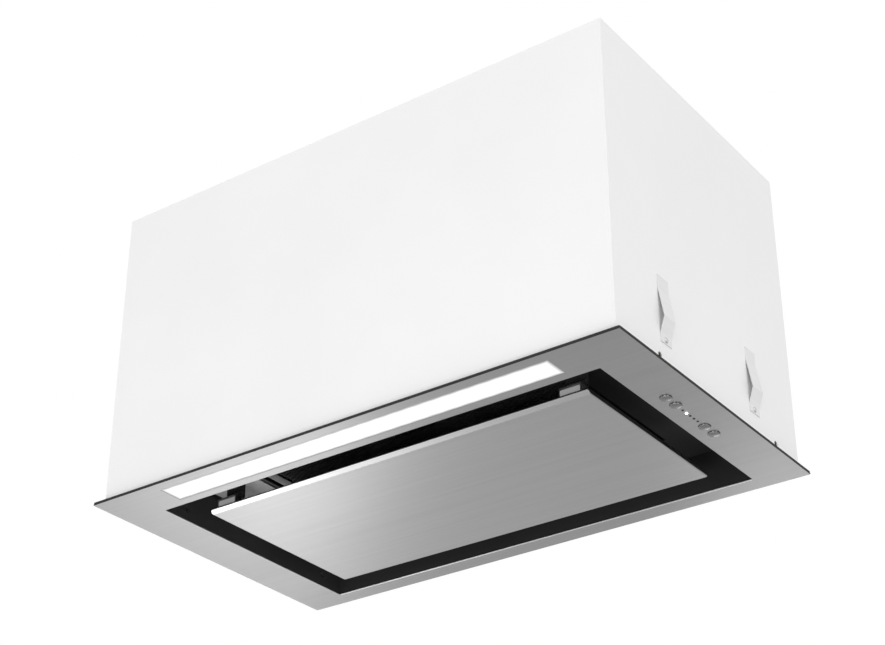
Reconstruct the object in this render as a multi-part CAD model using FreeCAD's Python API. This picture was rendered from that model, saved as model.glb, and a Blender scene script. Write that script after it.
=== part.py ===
import FreeCAD, Part
import os
from math import cos, radians, sin, sqrt

# Built-in range hood, in millimetres. The origin is the middle of the seat plane, where the seal
# on top of the flange meets the underside of the cupboard. +X is the cook's right, +Y points to
# the wall and +Z points up, into the cupboard.

V = FreeCAD.Vector
X_AXIS = V(1, 0, 0)
Y_AXIS = V(0, 1, 0)
Z_AXIS = V(0, 0, 1)

# Flange plate and the seal on top of it
FLANGE_WIDTH = 520.0
FLANGE_DEPTH = 300.0
FLANGE_SHEET = 1.0
FLANGE_CORNER_RADIUS = 1.0
FLANGE_EDGE_RADIUS = 0.4
SIDE_BORDER = 43.0
FRONT_BORDER = 43.0
BACK_BORDER = 19.0
OPENING_CORNER_RADIUS = 0.8
SEAL_THICKNESS = 1.5
SEAL_SETBACK = 0.2
SEAL_CASING_GAP = 0.4
STUD_RADIUS = 1.5
STUD_LENGTH = 7.0
STUD_GAP = 0.2
NUT_HEIGHT = 2.4
NUT_RADIUS = 3.2
NUT_THREAD_GAP = 0.05

# Casing that stands on the flange, inside the cupboard
CASING_INSET = 7.0
CASING_SHEET = 0.8
CASING_TOP_LIP = 12.0
CASING_LIP_GAP = 0.5
CASING_SCREW_RADIUS = 1.8
CASING_SCREW_GAP = 0.1
CASING_SCREW_LENGTH = 6.0
CASING_SCREW_SPREAD = 360.0
SCREW_HEAD_RADIUS = 3.4
SCREW_HEAD_HEIGHT = 1.8

# Side springs that hold the casing in the cut-out, and the sleeves for the fixing screws
SPRING_WIDTH = 16.0
SPRING_SHEET = 0.6
SPRING_BOW = 5.0
SPRING_LENGTH = 58.0
SPRING_RISE = 22.0
SPRING_SPACING = 140.0
SLEEVE_RADIUS = 5.0
SLEEVE_BORE = 2.6
SLEEVE_RISE = 9.0
SLEEVE_END_GAP = 28.0

# Suction chamber: black walls and the ceiling plate that takes the filter
TRAY_SHEET = 0.8
TRAY_SETBACK = 0.4
TRAY_RIM = 5.0
TRAY_HEIGHT = 35.5

# Perimeter panel
PANEL_GAP = 27.0
PANEL_EDGE = 4.0
PANEL_SHEET = 0.8
PANEL_PROUD = 0.5
PANEL_CORNER_RADIUS = 1.6
PANEL_EDGE_RADIUS = 1.0
PANEL_BEVEL = 3.0
RIB_WIDTH = 30.0
RIB_HEIGHT = 6.0
RIB_SHEET = 0.8
RIB_FLANGE = 8.0
RIB_SPACING = 84.0
RIB_END_GAP = 40.0

# Catches at the front corners of the panel, with their spring clips and posts
CATCH_WIDTH = 18.0
CATCH_DEPTH = 7.5
CATCH_HEIGHT = 9.7
CATCH_END_GAP = 8.0
CATCH_RIM_GAP = 0.2
CATCH_EDGE_RADIUS = 1.2
CLIP_SHEET = 0.6
CLIP_GAP = 0.3
CLIP_TOP_GAP = 0.6
CLIP_LEAF = 5.6
CLIP_TAB = 7.0
POST_WIDTH = 20.0
POST_SHEET = 1.2
POST_GAP = 3.0
POST_FOOT = 12.0
POST_CLIP_LAP = 1.3

# Hinges along the back edge of the panel
HINGE_SPACING = 240.0
HINGE_SETBACK = 7.0
HINGE_RISE = 16.0
HINGE_PIN_RADIUS = 2.0
HINGE_PIN_HEAD_RADIUS = 3.4
HINGE_PIN_HEAD = 1.0
HINGE_HEAD_GAP = 0.3
HINGE_RUNNING_GAP = 0.05
HINGE_PRESS_GAP = 0.02
EYE_RADIUS = 5.0
ARM_SHEET = 2.5
ARM_BAR = 8.0
ARM_CEILING_GAP = 2.0
ARM_FOOT_WIDTH = 18.0
ARM_FOOT_SHEET = 1.5
EAR_SHEET = 1.5
EAR_GAP = 0.4
EAR_RADIUS = 4.5
EAR_FOOT = 5.0

# Grease filter in the ceiling plate, with its sliding latch
FILTER_THICKNESS = 11.0
FILTER_BORDER = 9.0
FILTER_SHEET = 0.8
FILTER_GAP = 4.0
FILTER_LIP = 8.0
FILTER_LIP_GAP = 0.3
FILTER_RAISE = 0.7
FILTER_FRONT_GAP = 24.0
FILTER_POST_GAP = 3.0
FILTER_ARM_GAP = 1.0
MESH_GAP = 0.3
MESH_SHEET = 0.8
TONGUE_WIDTH = 14.0
TONGUE_SHEET = 1.5
TONGUE_REACH = 2.5
TONGUE_SPACING = 180.0
TONGUE_SLOT_GAP = 0.6
LATCH_WIDTH = 12.0
LATCH_THICKNESS = 3.0
LATCH_REACH = 2.5
LATCH_TRAVEL = 6.0
LATCH_GAP = 0.4
LATCH_GRIP_WIDTH = 20.0
LATCH_GRIP_DEPTH = 9.0
LATCH_GRIP_DROP = 2.5
LATCH_GRIP_SETBACK = 11.0
LATCH_BASE_WALL = 14.0
LATCH_BASE_END = 3.5

# Lamp in the front border
LAMP_END_REACH = 2.2
LAMP_CASING_GAP = 1.6
LAMP_TRAY_GAP = 1.4
LAMP_FLANGE = 1.0
LAMP_WINDOW_GAP = 0.4
LAMP_RECESS = 0.1
DIFFUSER_SHEET = 1.6
LAMP_HOUSING_HEIGHT = 14.0
LAMP_WALL = 1.0
LAMP_BOARD_SHEET = 1.5
LAMP_BOARD_GAP = 0.3
LAMP_CHIP_SIZE = 3.0
LAMP_CHIP_HEIGHT = 0.8
LAMP_CHIP_COUNT = 24
LAMP_EAR = 12.0
LAMP_EAR_SHEET = 2.5
LAMP_DRIVER_LENGTH = 100.0
LAMP_DRIVER_WIDTH = 40.0
LAMP_DRIVER_HEIGHT = 25.0
LAMP_DRIVER_GAP = 6.0
LAMP_DRIVER_CORNER_RADIUS = 2.0

# Zinc-coated cover under the lamp driver, on the left strip of the ceiling
COVER_SHEET = 0.8
COVER_WALL_GAP = 3.0
COVER_FILTER_GAP = 4.0
COVER_POST_GAP = 1.0
COVER_SCREW_EDGE = 4.0
COVER_SCREW_INSET = 36.0

# Buttons and indicators in the right border
BUTTON_RADIUS = 4.8
BUTTON_HOLE_GAP = 0.3
BUTTON_PROUD = 1.3
BUTTON_CROWN = 0.35
BUTTON_EDGE_RADIUS = 0.5
BUTTON_PITCH = 15.0
BUTTON_SPREAD = 45.0
BUTTON_TRAVEL = 1.0
BUTTON_SHOULDER = 1.4
BUTTON_SHOULDER_SHEET = 1.0
BUTTON_SEAT_GAP = 0.3
BUTTON_STEM_RADIUS = 1.6
BUTTON_STEM_LAP = 1.4
INDICATOR_RADIUS = 1.1
INDICATOR_HOLE_GAP = 0.05
INDICATOR_HEAD = 0.7
INDICATOR_HEAD_SHEET = 1.0
INDICATOR_PROUD = 0.1
INDICATOR_PITCH = 5.8
INDICATOR_COUNT = 5
INDICATOR_LIT = 1
INDICATOR_BOARD_GAP = 0.5
CONTROL_GAP = 1.0
CONTROL_WALL = 1.5
CONTROL_CLEARANCE = 0.3
CONTROL_HEIGHT = 24.0
CONTROL_EAR = 10.0
CONTROL_EAR_SHEET = 2.5
SWITCH_RISE = 6.5
SWITCH_SIZE = 6.2
SWITCH_HEIGHT = 4.0
SWITCH_ROOF = 1.0
SWITCH_BORE_GAP = 0.4
CONTROL_BOARD_SHEET = 1.6

# Blower: a double-inlet centrifugal fan with its axis along X
BLOWER_FLOOR_GAP = 22.0
IMPELLER_RADIUS = 70.0
IMPELLER_WIDTH = 100.0
IMPELLER_DISC = 2.0
IMPELLER_RING = 3.0
IMPELLER_RING_DEPTH = 3.0
BLADE_COUNT = 32
BLADE_DEPTH = 14.0
BLADE_SHEET = 0.9
BLADE_TILT = 24.0
HUB_RADIUS = 9.0
HUB_LENGTH = 12.0
SCROLL_START_GAP = 14.0
SCROLL_GROWTH = 10.0
SCROLL_WALL = 1.6
SCROLL_SIDE_GAP = 4.0
INLET_RADIUS = 62.0
INLET_LIP = 4.0
INLET_LIP_WALL = 2.0
OUTLET_DEPTH = 90.0
OUTLET_FLANGE = 12.0
OUTLET_FLANGE_SHEET = 2.0
NECK_HEIGHT = 30.0
GASKET_THICKNESS = 3.0

# Motor inside the left half of the impeller
MOTOR_RADIUS = 40.0
MOTOR_DISC_GAP = 7.0
MOTOR_WALL = 1.2
MOTOR_END_SHEET = 1.5
SHAFT_RADIUS = 4.0
SHAFT_RUNNING_GAP = 0.03
SHAFT_END = 6.0
HUB_PRESS_GAP = 0.02
BEARING_RADIUS = 9.0
BEARING_WIDTH = 6.0
BEARING_SEAT_GAP = 0.02
BEARING_CUP_WALL = 2.0
STATOR_GAP = 0.2
STATOR_LENGTH = 25.0
ROTOR_RADIUS = 20.0
AIR_GAP = 0.5
BRACKET_SHEET = 3.0
BRACKET_ARM_WIDTH = 16.0
BRACKET_BORE_GAP = 5.0
BRACKET_LIP_GAP = 0.5
MOUNT_RADIUS = 6.0

# Electrics under the casing top
POWER_LIP_GAP = 2.2
POWER_WIDTH = 76.0
POWER_DEPTH = 60.0
POWER_HEIGHT = 42.0
POWER_WALL = 2.0
POWER_LID_LIP = 3.0
POWER_LID_GAP = 0.3
POWER_BOARD_SHEET = 1.6
POWER_BOARD_RISE = 12.0
CAPACITOR_RADIUS = 12.0
CAPACITOR_LENGTH = 55.0
CAPACITOR_GAP = 0.3
GLAND_THREAD_RADIUS = 8.0
GLAND_BORE = 4.5
GLAND_HOLE_GAP = 0.1
GLAND_HEX_RADIUS = 12.0
GLAND_HEX_HEIGHT = 6.0
GLAND_DOME_RADIUS = 9.5
GLAND_DOME_HEIGHT = 8.0
GLAND_THREAD_LENGTH = 9.0
GLAND_NUT_HEIGHT = 4.0

# Duct collar with two damper flaps
COLLAR_RADIUS = 74.5
COLLAR_WALL = 1.8
COLLAR_HEIGHT = 42.0
COLLAR_RIM = 17.0
COLLAR_RIM_SHEET = 2.5
COLLAR_BACK_GAP = 8.7
COLLAR_SCREW_INSET = 8.0
COLLAR_SCREW_RADIUS = 2.0
COLLAR_SCREW_GAP = 0.1
COLLAR_SCREW_LENGTH = 8.0
DAMPER_RISE = 13.0
DAMPER_PIN_RADIUS = 1.5
DAMPER_PIN_GAP = 0.05
DAMPER_PIN_SEAT_GAP = 0.02
DAMPER_SHEET = 1.2
DAMPER_EDGE_GAP = 1.0
DAMPER_KNUCKLE_RADIUS = 2.8
DAMPER_KNUCKLE_GAP = 0.6
DAMPER_KNUCKLE_SPLIT = 56.0
DAMPER_KNUCKLE_END_GAP = 2.0
DAMPER_BOSS = 8.0
DAMPER_BOSS_GAP = 1.0
DAMPER_STOP = 6.0
DAMPER_STOP_WIDTH = 12.0
DAMPER_STOP_HEIGHT = 4.0
DAMPER_STOP_GAP = 0.3

# Heights and half sizes that follow from the sizes above
FLANGE_TOP = -SEAL_THICKNESS
FLANGE_BOTTOM = FLANGE_TOP - FLANGE_SHEET
X_FLANGE = FLANGE_WIDTH / 2
Y_FLANGE = FLANGE_DEPTH / 2
X_OPEN = X_FLANGE - SIDE_BORDER
Y_OPEN_FRONT = -Y_FLANGE + FRONT_BORDER
Y_OPEN_BACK = Y_FLANGE - BACK_BORDER
X_CASE = X_FLANGE - CASING_INSET
Y_CASE = Y_FLANGE - CASING_INSET
X_CASE_IN = X_CASE - CASING_SHEET
Y_CASE_IN = Y_CASE - CASING_SHEET

X_TRAY_IN = X_OPEN + TRAY_SETBACK
X_TRAY = X_TRAY_IN + TRAY_SHEET
Y_TRAY_FRONT_IN = Y_OPEN_FRONT - TRAY_SETBACK
Y_TRAY_FRONT = Y_TRAY_FRONT_IN - TRAY_SHEET
Y_TRAY_BACK_IN = Y_OPEN_BACK + TRAY_SETBACK
Y_TRAY_BACK = Y_TRAY_BACK_IN + TRAY_SHEET
CEILING = FLANGE_TOP + TRAY_HEIGHT
CEILING_TOP = CEILING + TRAY_SHEET

X_PANEL = X_OPEN - PANEL_GAP
Y_PANEL_FRONT = Y_OPEN_FRONT + PANEL_GAP
Y_PANEL_BACK = Y_OPEN_BACK - PANEL_GAP
PANEL_BOTTOM = FLANGE_BOTTOM - PANEL_PROUD
PANEL_FLOOR = PANEL_BOTTOM + PANEL_SHEET
PANEL_RIM = PANEL_BOTTOM + PANEL_EDGE

CATCH_X = X_PANEL - CATCH_END_GAP - CATCH_WIDTH / 2
CATCH_FRONT = Y_PANEL_FRONT + PANEL_SHEET + CATCH_RIM_GAP
CATCH_BACK = CATCH_FRONT + CATCH_DEPTH
CATCH_TOP = PANEL_FLOOR + CATCH_HEIGHT
CLIP_ROOF = CATCH_TOP + CLIP_TOP_GAP
POST_FRONT = CATCH_BACK + POST_GAP

HINGE_X = HINGE_SPACING / 2
HINGE_Y = Y_PANEL_BACK - HINGE_SETBACK
HINGE_Z = PANEL_BOTTOM + HINGE_RISE

X_APERTURE = CATCH_X - POST_WIDTH / 2 - FILTER_POST_GAP
Y_APERTURE_FRONT = Y_OPEN_FRONT + FILTER_FRONT_GAP - FILTER_GAP
Y_APERTURE_BACK = HINGE_Y - EYE_RADIUS - FILTER_ARM_GAP
X_FILTER = X_APERTURE - FILTER_GAP
Y_FILTER_FRONT = Y_APERTURE_FRONT + FILTER_GAP
Y_FILTER_BACK = Y_APERTURE_BACK - FILTER_GAP
FILTER_BOTTOM = CEILING + FILTER_RAISE
FILTER_TOP = FILTER_BOTTOM + FILTER_THICKNESS
FILTER_STOP = FILTER_TOP + FILTER_LIP_GAP
FILTER_MIDDLE = (FILTER_BOTTOM + FILTER_TOP) / 2
Y_LATCH_BASE = Y_FILTER_FRONT + FILTER_BORDER
LATCH_BOTTOM = FILTER_MIDDLE - LATCH_THICKNESS / 2
LATCH_TOP = FILTER_MIDDLE + LATCH_THICKNESS / 2
Y_GRIP = Y_LATCH_BASE + LATCH_GRIP_SETBACK
Y_LATCH_TAIL = Y_GRIP + LATCH_GRIP_DEPTH
X_LATCH_BASE = LATCH_WIDTH / 2 + LATCH_BASE_WALL
Y_LATCH_BASE_BACK = Y_LATCH_TAIL + LATCH_TRAVEL + LATCH_GAP + LATCH_BASE_END

X_LAMP = X_PANEL + LAMP_END_REACH
Y_LAMP_FRONT = -Y_CASE_IN + LAMP_CASING_GAP + LAMP_FLANGE
Y_LAMP_BACK = Y_TRAY_FRONT - TRAY_RIM - LAMP_TRAY_GAP - LAMP_FLANGE
DIFFUSER_TOP = FLANGE_TOP + DIFFUSER_SHEET
LAMP_ROOF = DIFFUSER_TOP + LAMP_HOUSING_HEIGHT
LAMP_STUD_X = X_LAMP + LAMP_FLANGE + LAMP_EAR / 2
LAMP_STUD_Y = (Y_LAMP_FRONT + Y_LAMP_BACK) / 2

Y_DRIVER = (Y_APERTURE_FRONT + Y_APERTURE_BACK) / 2
X_COVER_LEFT = -X_TRAY_IN + COVER_WALL_GAP
X_COVER_RIGHT = -X_APERTURE - COVER_FILTER_GAP
Y_COVER_FRONT = POST_FRONT + POST_FOOT + COVER_POST_GAP
Y_COVER_BACK = 2 * Y_DRIVER - Y_COVER_FRONT
COVER_BOTTOM = CEILING - COVER_SHEET

CONTROL_HALF = BUTTON_RADIUS + BUTTON_SHOULDER + CONTROL_CLEARANCE + CONTROL_WALL
X_CONTROL = X_TRAY + TRAY_RIM + CONTROL_GAP + CONTROL_HALF
CASING_BOTTOM_LIP = X_CASE_IN - X_CONTROL - CONTROL_HALF - CONTROL_GAP
Y_BUTTON_INNER = BUTTON_SPREAD / 2
Y_BUTTON_OUTER = Y_BUTTON_INNER + BUTTON_PITCH
BUTTON_PLACES = [-Y_BUTTON_OUTER, -Y_BUTTON_INNER, Y_BUTTON_INNER, Y_BUTTON_OUTER]
Y_CONTROL = Y_BUTTON_OUTER + CONTROL_HALF
CONTROL_STUD_Y = Y_CONTROL + CONTROL_EAR / 2
SWITCH_BOTTOM = FLANGE_TOP + SWITCH_RISE
CONTROL_BOARD = SWITCH_BOTTOM + SWITCH_HEIGHT

SCROLL_RADIUS = IMPELLER_RADIUS + SCROLL_START_GAP
SCROLL_HALF = SCROLL_GROWTH / 2
SCROLL_TOP_REACH = SCROLL_RADIUS - SCROLL_HALF
SCROLL_FLOOR_REACH = SCROLL_RADIUS + SCROLL_GROWTH + SCROLL_HALF
SCROLL_BACK_REACH = SCROLL_RADIUS + 2 * SCROLL_GROWTH + SCROLL_HALF
BLOWER_Z = FILTER_STOP + TRAY_SHEET + BLOWER_FLOOR_GAP + SCROLL_WALL + SCROLL_FLOOR_REACH
SCROLL_ROOF = BLOWER_Z + SCROLL_TOP_REACH
NECK_TOP = SCROLL_ROOF + SCROLL_WALL + NECK_HEIGHT
CASING_ROOF = NECK_TOP + GASKET_THICKNESS
CASING_TOP = CASING_ROOF + CASING_SHEET
X_SCROLL_IN = IMPELLER_WIDTH / 2 + SCROLL_SIDE_GAP
X_SCROLL = X_SCROLL_IN + SCROLL_WALL
COLLAR_Y = Y_CASE_IN - COLLAR_BACK_GAP - COLLAR_RIM - COLLAR_RADIUS
Y_OUTLET_BACK = COLLAR_Y + OUTLET_DEPTH / 2
Y_OUTLET_FRONT = COLLAR_Y - OUTLET_DEPTH / 2
BLOWER_Y = Y_OUTLET_BACK - SCROLL_BACK_REACH

MOTOR_RIGHT = -IMPELLER_DISC / 2 - MOTOR_DISC_GAP
MOTOR_LEFT = -X_SCROLL - INLET_LIP - BRACKET_LIP_GAP
MOTOR_LENGTH = MOTOR_RIGHT - MOTOR_LEFT
MOTOR_MIDDLE = (MOTOR_LEFT + MOTOR_RIGHT) / 2
BRACKET_LEFT = MOTOR_LEFT - BRACKET_SHEET
SHAFT_LEFT = BRACKET_LEFT - SHAFT_END
SHAFT_RIGHT = HUB_LENGTH + SHAFT_END
BRACKET_RADIUS = INLET_RADIUS + INLET_LIP_WALL + BRACKET_LIP_GAP + 2 * MOUNT_RADIUS

POWER_X = -X_CASE_IN + CASING_TOP_LIP + POWER_LIP_GAP + POWER_WIDTH / 2
POWER_Y = Y_CASE_IN - CASING_TOP_LIP - POWER_LIP_GAP - POWER_DEPTH / 2
GLAND_X = POWER_X
GLAND_Y = POWER_Y
POWER_FLOOR = CASING_ROOF - POWER_HEIGHT

COLLAR_INNER = COLLAR_RADIUS - COLLAR_WALL
DAMPER_Z = CASING_TOP + DAMPER_RISE
DAMPER_RADIUS = COLLAR_INNER - DAMPER_EDGE_GAP
BOSS_INNER = COLLAR_INNER - DAMPER_BOSS


def box(x0, x1, y0, y1, z0, z1):
    return Part.makeBox(x1 - x0, y1 - y0, z1 - z0, V(x0, y0, z0))


def cylinder(radius, start, axis, length):
    return Part.makeCylinder(radius, length, start, axis)


def tube(outer, inner, start, axis, length):
    return cylinder(outer, start, axis, length).cut(cylinder(inner, start, axis, length))


def prism(points, along):
    wire = Part.makePolygon(points + [points[0]])
    return Part.Face(wire).extrude(along)


def hexagon(radius, x, y, z, height):
    corners = [V(x + radius * cos(radians(a)), y + radius * sin(radians(a)), z) for a in range(0, 360, 60)]
    return prism(corners, Z_AXIS * height)


def upright_edges(shape):
    spans = [(e, e.Vertexes[-1].Point - e.Vertexes[0].Point) for e in shape.Edges]
    return [e for e, span in spans if span.cross(Z_AXIS).Length < 1e-6]


def level_edges(shape, z):
    return [e for e in shape.Edges if all(abs(v.Z - z) < 1e-6 for v in e.Vertexes)]


def rounded_box(x0, x1, y0, y1, z0, z1, radius):
    body = box(x0, x1, y0, y1, z0, z1)
    return body.makeFillet(radius, upright_edges(body))


def mirrored(shape):
    return shape.mirror(V(0, 0, 0), X_AXIS)


def both_sides(shape):
    return [shape, mirrored(shape)]


def joined(shapes):
    return shapes[0].multiFuse(shapes[1:]).removeSplitter()


def group(shapes):
    return Part.makeCompound(shapes)


def screw(x, y, z, radius, length, head_radius, head_height):
    head = cylinder(head_radius, V(x, y, z), Z_AXIS, head_height)
    head = head.makeFillet(head_height * 0.5, level_edges(head, z + head_height))
    shank = cylinder(radius, V(x, y, z - length), Z_AXIS, length)
    return joined([head, shank])


def sleeve_places():
    return [Y_TRAY_FRONT + SLEEVE_END_GAP, Y_TRAY_BACK - SLEEVE_END_GAP]


def stud_places():
    lamp = [(-LAMP_STUD_X, LAMP_STUD_Y), (LAMP_STUD_X, LAMP_STUD_Y)]
    control = [(X_CONTROL, -CONTROL_STUD_Y), (X_CONTROL, CONTROL_STUD_Y)]
    return lamp + control


def stud_nut_seats():
    lamp = FLANGE_TOP + LAMP_EAR_SHEET
    control = FLANGE_TOP + CONTROL_EAR_SHEET
    return [lamp, lamp, control, control]


def indicator_places():
    first = -INDICATOR_PITCH * (INDICATOR_COUNT - 1) / 2
    return [first + INDICATOR_PITCH * i for i in range(INDICATOR_COUNT)]


def casing_screw_places():
    half = CASING_SCREW_SPREAD / 2
    lip = CASING_TOP_LIP / 2
    front = [(x, -Y_CASE_IN + lip) for x in (-half, -half / 3, half / 3, half)]
    left = [(-X_CASE_IN + lip, y) for y in (-Y_CASE_IN / 3, Y_CASE_IN / 3)]
    right = [(-x, y) for x, y in left]
    back = [(x, Y_CASE_IN - lip) for x in (-half / 3, half / 3)]
    return front + left + right + back


def cover_screw_places():
    x = X_COVER_LEFT + COVER_SCREW_EDGE
    return [(x, Y_COVER_FRONT + COVER_SCREW_INSET), (x, Y_COVER_BACK - COVER_SCREW_INSET)]


def collar_screw_places():
    radius = COLLAR_RADIUS + COLLAR_RIM - COLLAR_SCREW_INSET
    turns = [0, 90, 180, 270]
    return [(radius * cos(radians(a)), COLLAR_Y + radius * sin(radians(a))) for a in turns]


def drilled(shape, places, radius, z0, z1):
    return shape.cut(group([cylinder(radius, V(x, y, z0), Z_AXIS, z1 - z0) for x, y in places]))


def flange_plate():
    plate = rounded_box(-X_FLANGE, X_FLANGE, -Y_FLANGE, Y_FLANGE, FLANGE_BOTTOM, FLANGE_TOP,
                        FLANGE_CORNER_RADIUS)
    plate = plate.makeFillet(FLANGE_EDGE_RADIUS, level_edges(plate, FLANGE_BOTTOM))
    plate = plate.cut(rounded_box(-X_OPEN, X_OPEN, Y_OPEN_FRONT, Y_OPEN_BACK, FLANGE_BOTTOM - 1,
                                  FLANGE_TOP + 1, OPENING_CORNER_RADIUS))
    plate = plate.cut(box(-X_LAMP, X_LAMP, Y_LAMP_FRONT, Y_LAMP_BACK, FLANGE_BOTTOM - 1, FLANGE_TOP + 1))
    buttons = [(X_CONTROL, y) for y in BUTTON_PLACES]
    plate = drilled(plate, buttons, BUTTON_RADIUS + BUTTON_HOLE_GAP, FLANGE_BOTTOM - 1, FLANGE_TOP + 1)
    lights = [(X_CONTROL, y) for y in indicator_places()]
    plate = drilled(plate, lights, INDICATOR_RADIUS + INDICATOR_HOLE_GAP, FLANGE_BOTTOM - 1, FLANGE_TOP + 1)
    studs = [cylinder(STUD_RADIUS, V(x, y, FLANGE_TOP), Z_AXIS, STUD_LENGTH) for x, y in stud_places()]
    return joined([plate] + studs)


def flange_seal():
    outer = rounded_box(-X_FLANGE + SEAL_SETBACK, X_FLANGE - SEAL_SETBACK, -Y_FLANGE + SEAL_SETBACK,
                        Y_FLANGE - SEAL_SETBACK, FLANGE_TOP, 0, FLANGE_CORNER_RADIUS)
    x = X_CASE + SEAL_CASING_GAP
    y = Y_CASE + SEAL_CASING_GAP
    return outer.cut(box(-x, x, -y, y, FLANGE_TOP - 1, 1))


def stud_nuts():
    nuts = []
    for (x, y), z in zip(stud_places(), stud_nut_seats()):
        bore = cylinder(STUD_RADIUS + NUT_THREAD_GAP, V(x, y, z), Z_AXIS, NUT_HEIGHT)
        nuts.append(hexagon(NUT_RADIUS, x, y, z, NUT_HEIGHT).cut(bore))
    return group(nuts)


def casing_shell():
    front = box(-X_CASE, X_CASE, -Y_CASE, -Y_CASE_IN, FLANGE_TOP, CASING_ROOF)
    side = box(X_CASE_IN, X_CASE, -Y_CASE, Y_CASE, FLANGE_TOP, CASING_ROOF)
    low_lip = box(X_CASE_IN - CASING_BOTTOM_LIP, X_CASE_IN, -Y_CASE_IN, Y_CASE_IN, FLANGE_TOP,
                  FLANGE_TOP + CASING_SHEET)
    top_lip = box(X_CASE_IN - CASING_TOP_LIP, X_CASE_IN, -Y_CASE_IN, Y_CASE_IN, CASING_ROOF - CASING_SHEET,
                  CASING_ROOF)
    front_lip = box(-X_CASE_IN, X_CASE_IN, -Y_CASE_IN, -Y_CASE_IN + CASING_TOP_LIP,
                    CASING_ROOF - CASING_SHEET, CASING_ROOF)
    shell = joined([front, front_lip] + both_sides(joined([side, low_lip, top_lip])))
    for y in sleeve_places():
        shell = shell.cut(cylinder(SLEEVE_BORE, V(-X_CASE - 1, y, SLEEVE_RISE), X_AXIS, 2 * X_CASE + 2))
    return drilled(shell, casing_screw_places(), CASING_SCREW_RADIUS + CASING_SCREW_GAP,
                   CASING_ROOF - CASING_SHEET - 1, CASING_ROOF + 1)


def casing_back():
    plate = box(-X_CASE_IN, X_CASE_IN, Y_CASE_IN, Y_CASE, FLANGE_TOP, CASING_ROOF)
    z0 = FLANGE_TOP + CASING_SHEET + CASING_LIP_GAP
    z1 = CASING_ROOF - CASING_SHEET - CASING_LIP_GAP
    lip = box(X_CASE_IN - CASING_SHEET, X_CASE_IN, Y_CASE_IN - CASING_TOP_LIP, Y_CASE_IN, z0, z1)
    x = X_CASE_IN - CASING_TOP_LIP - CASING_LIP_GAP
    top = box(-x, x, Y_CASE_IN - CASING_TOP_LIP, Y_CASE_IN, CASING_ROOF - CASING_SHEET, CASING_ROOF)
    back = joined([plate, top] + both_sides(lip))
    return drilled(back, casing_screw_places(), CASING_SCREW_RADIUS + CASING_SCREW_GAP,
                   CASING_ROOF - CASING_SHEET - 1, CASING_ROOF + 1)


def casing_top():
    plate = box(-X_CASE, X_CASE, -Y_CASE, Y_CASE, CASING_ROOF, CASING_TOP)
    plate = plate.cut(cylinder(COLLAR_INNER, V(0, COLLAR_Y, CASING_ROOF - 1), Z_AXIS, CASING_SHEET + 2))
    plate = drilled(plate, casing_screw_places(), CASING_SCREW_RADIUS + CASING_SCREW_GAP,
                    CASING_ROOF - 1, CASING_TOP + 1)
    plate = drilled(plate, collar_screw_places(), COLLAR_SCREW_RADIUS + COLLAR_SCREW_GAP,
                    CASING_ROOF - 1, CASING_TOP + 1)
    return drilled(plate, [(GLAND_X, GLAND_Y)], GLAND_THREAD_RADIUS + GLAND_HOLE_GAP,
                   CASING_ROOF - 1, CASING_TOP + 1)


def sheet_screw(x, y, z):
    return screw(x, y, z, CASING_SCREW_RADIUS, CASING_SCREW_LENGTH, SCREW_HEAD_RADIUS, SCREW_HEAD_HEIGHT)


def casing_screws():
    # The casing's top, and the same screw turned head down under the driver's cover.
    top = [sheet_screw(x, y, CASING_TOP) for x, y in casing_screw_places()]
    under = [sheet_screw(x, y, COVER_BOTTOM).mirror(V(x, y, COVER_BOTTOM), Z_AXIS)
             for x, y in cover_screw_places()]
    return group(top + under)


def side_springs():
    # A bowed strip: flat foot against the wall, a long ramp out and a short ramp back in.
    t = SPRING_SHEET
    z = [SPRING_RISE + SPRING_LENGTH * part for part in (0, 0.12, 0.35, 0.8, 1)]
    x = [X_CASE, X_CASE, X_CASE + SPRING_BOW - t, X_CASE, X_CASE]
    inner = list(zip(x, z))
    outer = [(a + t, b) for a, b in reversed(inner)]
    springs = []
    for y in (-SPRING_SPACING / 2, SPRING_SPACING / 2):
        points = [V(a, y - SPRING_WIDTH / 2, b) for a, b in inner + outer]
        springs += both_sides(prism(points, Y_AXIS * SPRING_WIDTH))
    return group(springs)


def fixing_sleeves():
    sleeves = []
    for y in sleeve_places():
        one = tube(SLEEVE_RADIUS, SLEEVE_BORE, V(X_TRAY, y, SLEEVE_RISE), X_AXIS, X_CASE_IN - X_TRAY)
        sleeves += both_sides(one)
    return group(sleeves)


def suction_tray():
    outer = box(-X_TRAY, X_TRAY, Y_TRAY_FRONT, Y_TRAY_BACK, FLANGE_TOP, CEILING)
    rim = box(-X_TRAY - TRAY_RIM, X_TRAY + TRAY_RIM, Y_TRAY_FRONT - TRAY_RIM, Y_TRAY_BACK + TRAY_RIM,
              FLANGE_TOP, FLANGE_TOP + TRAY_SHEET)
    tray = joined([outer, rim]).cut(box(-X_TRAY_IN, X_TRAY_IN, Y_TRAY_FRONT_IN, Y_TRAY_BACK_IN,
                                        FLANGE_TOP - 1, CEILING + 1))
    for y in sleeve_places():
        tray = tray.cut(cylinder(SLEEVE_BORE, V(-X_TRAY - 1, y, SLEEVE_RISE), X_AXIS, 2 * X_TRAY + 2))
    return tray


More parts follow.
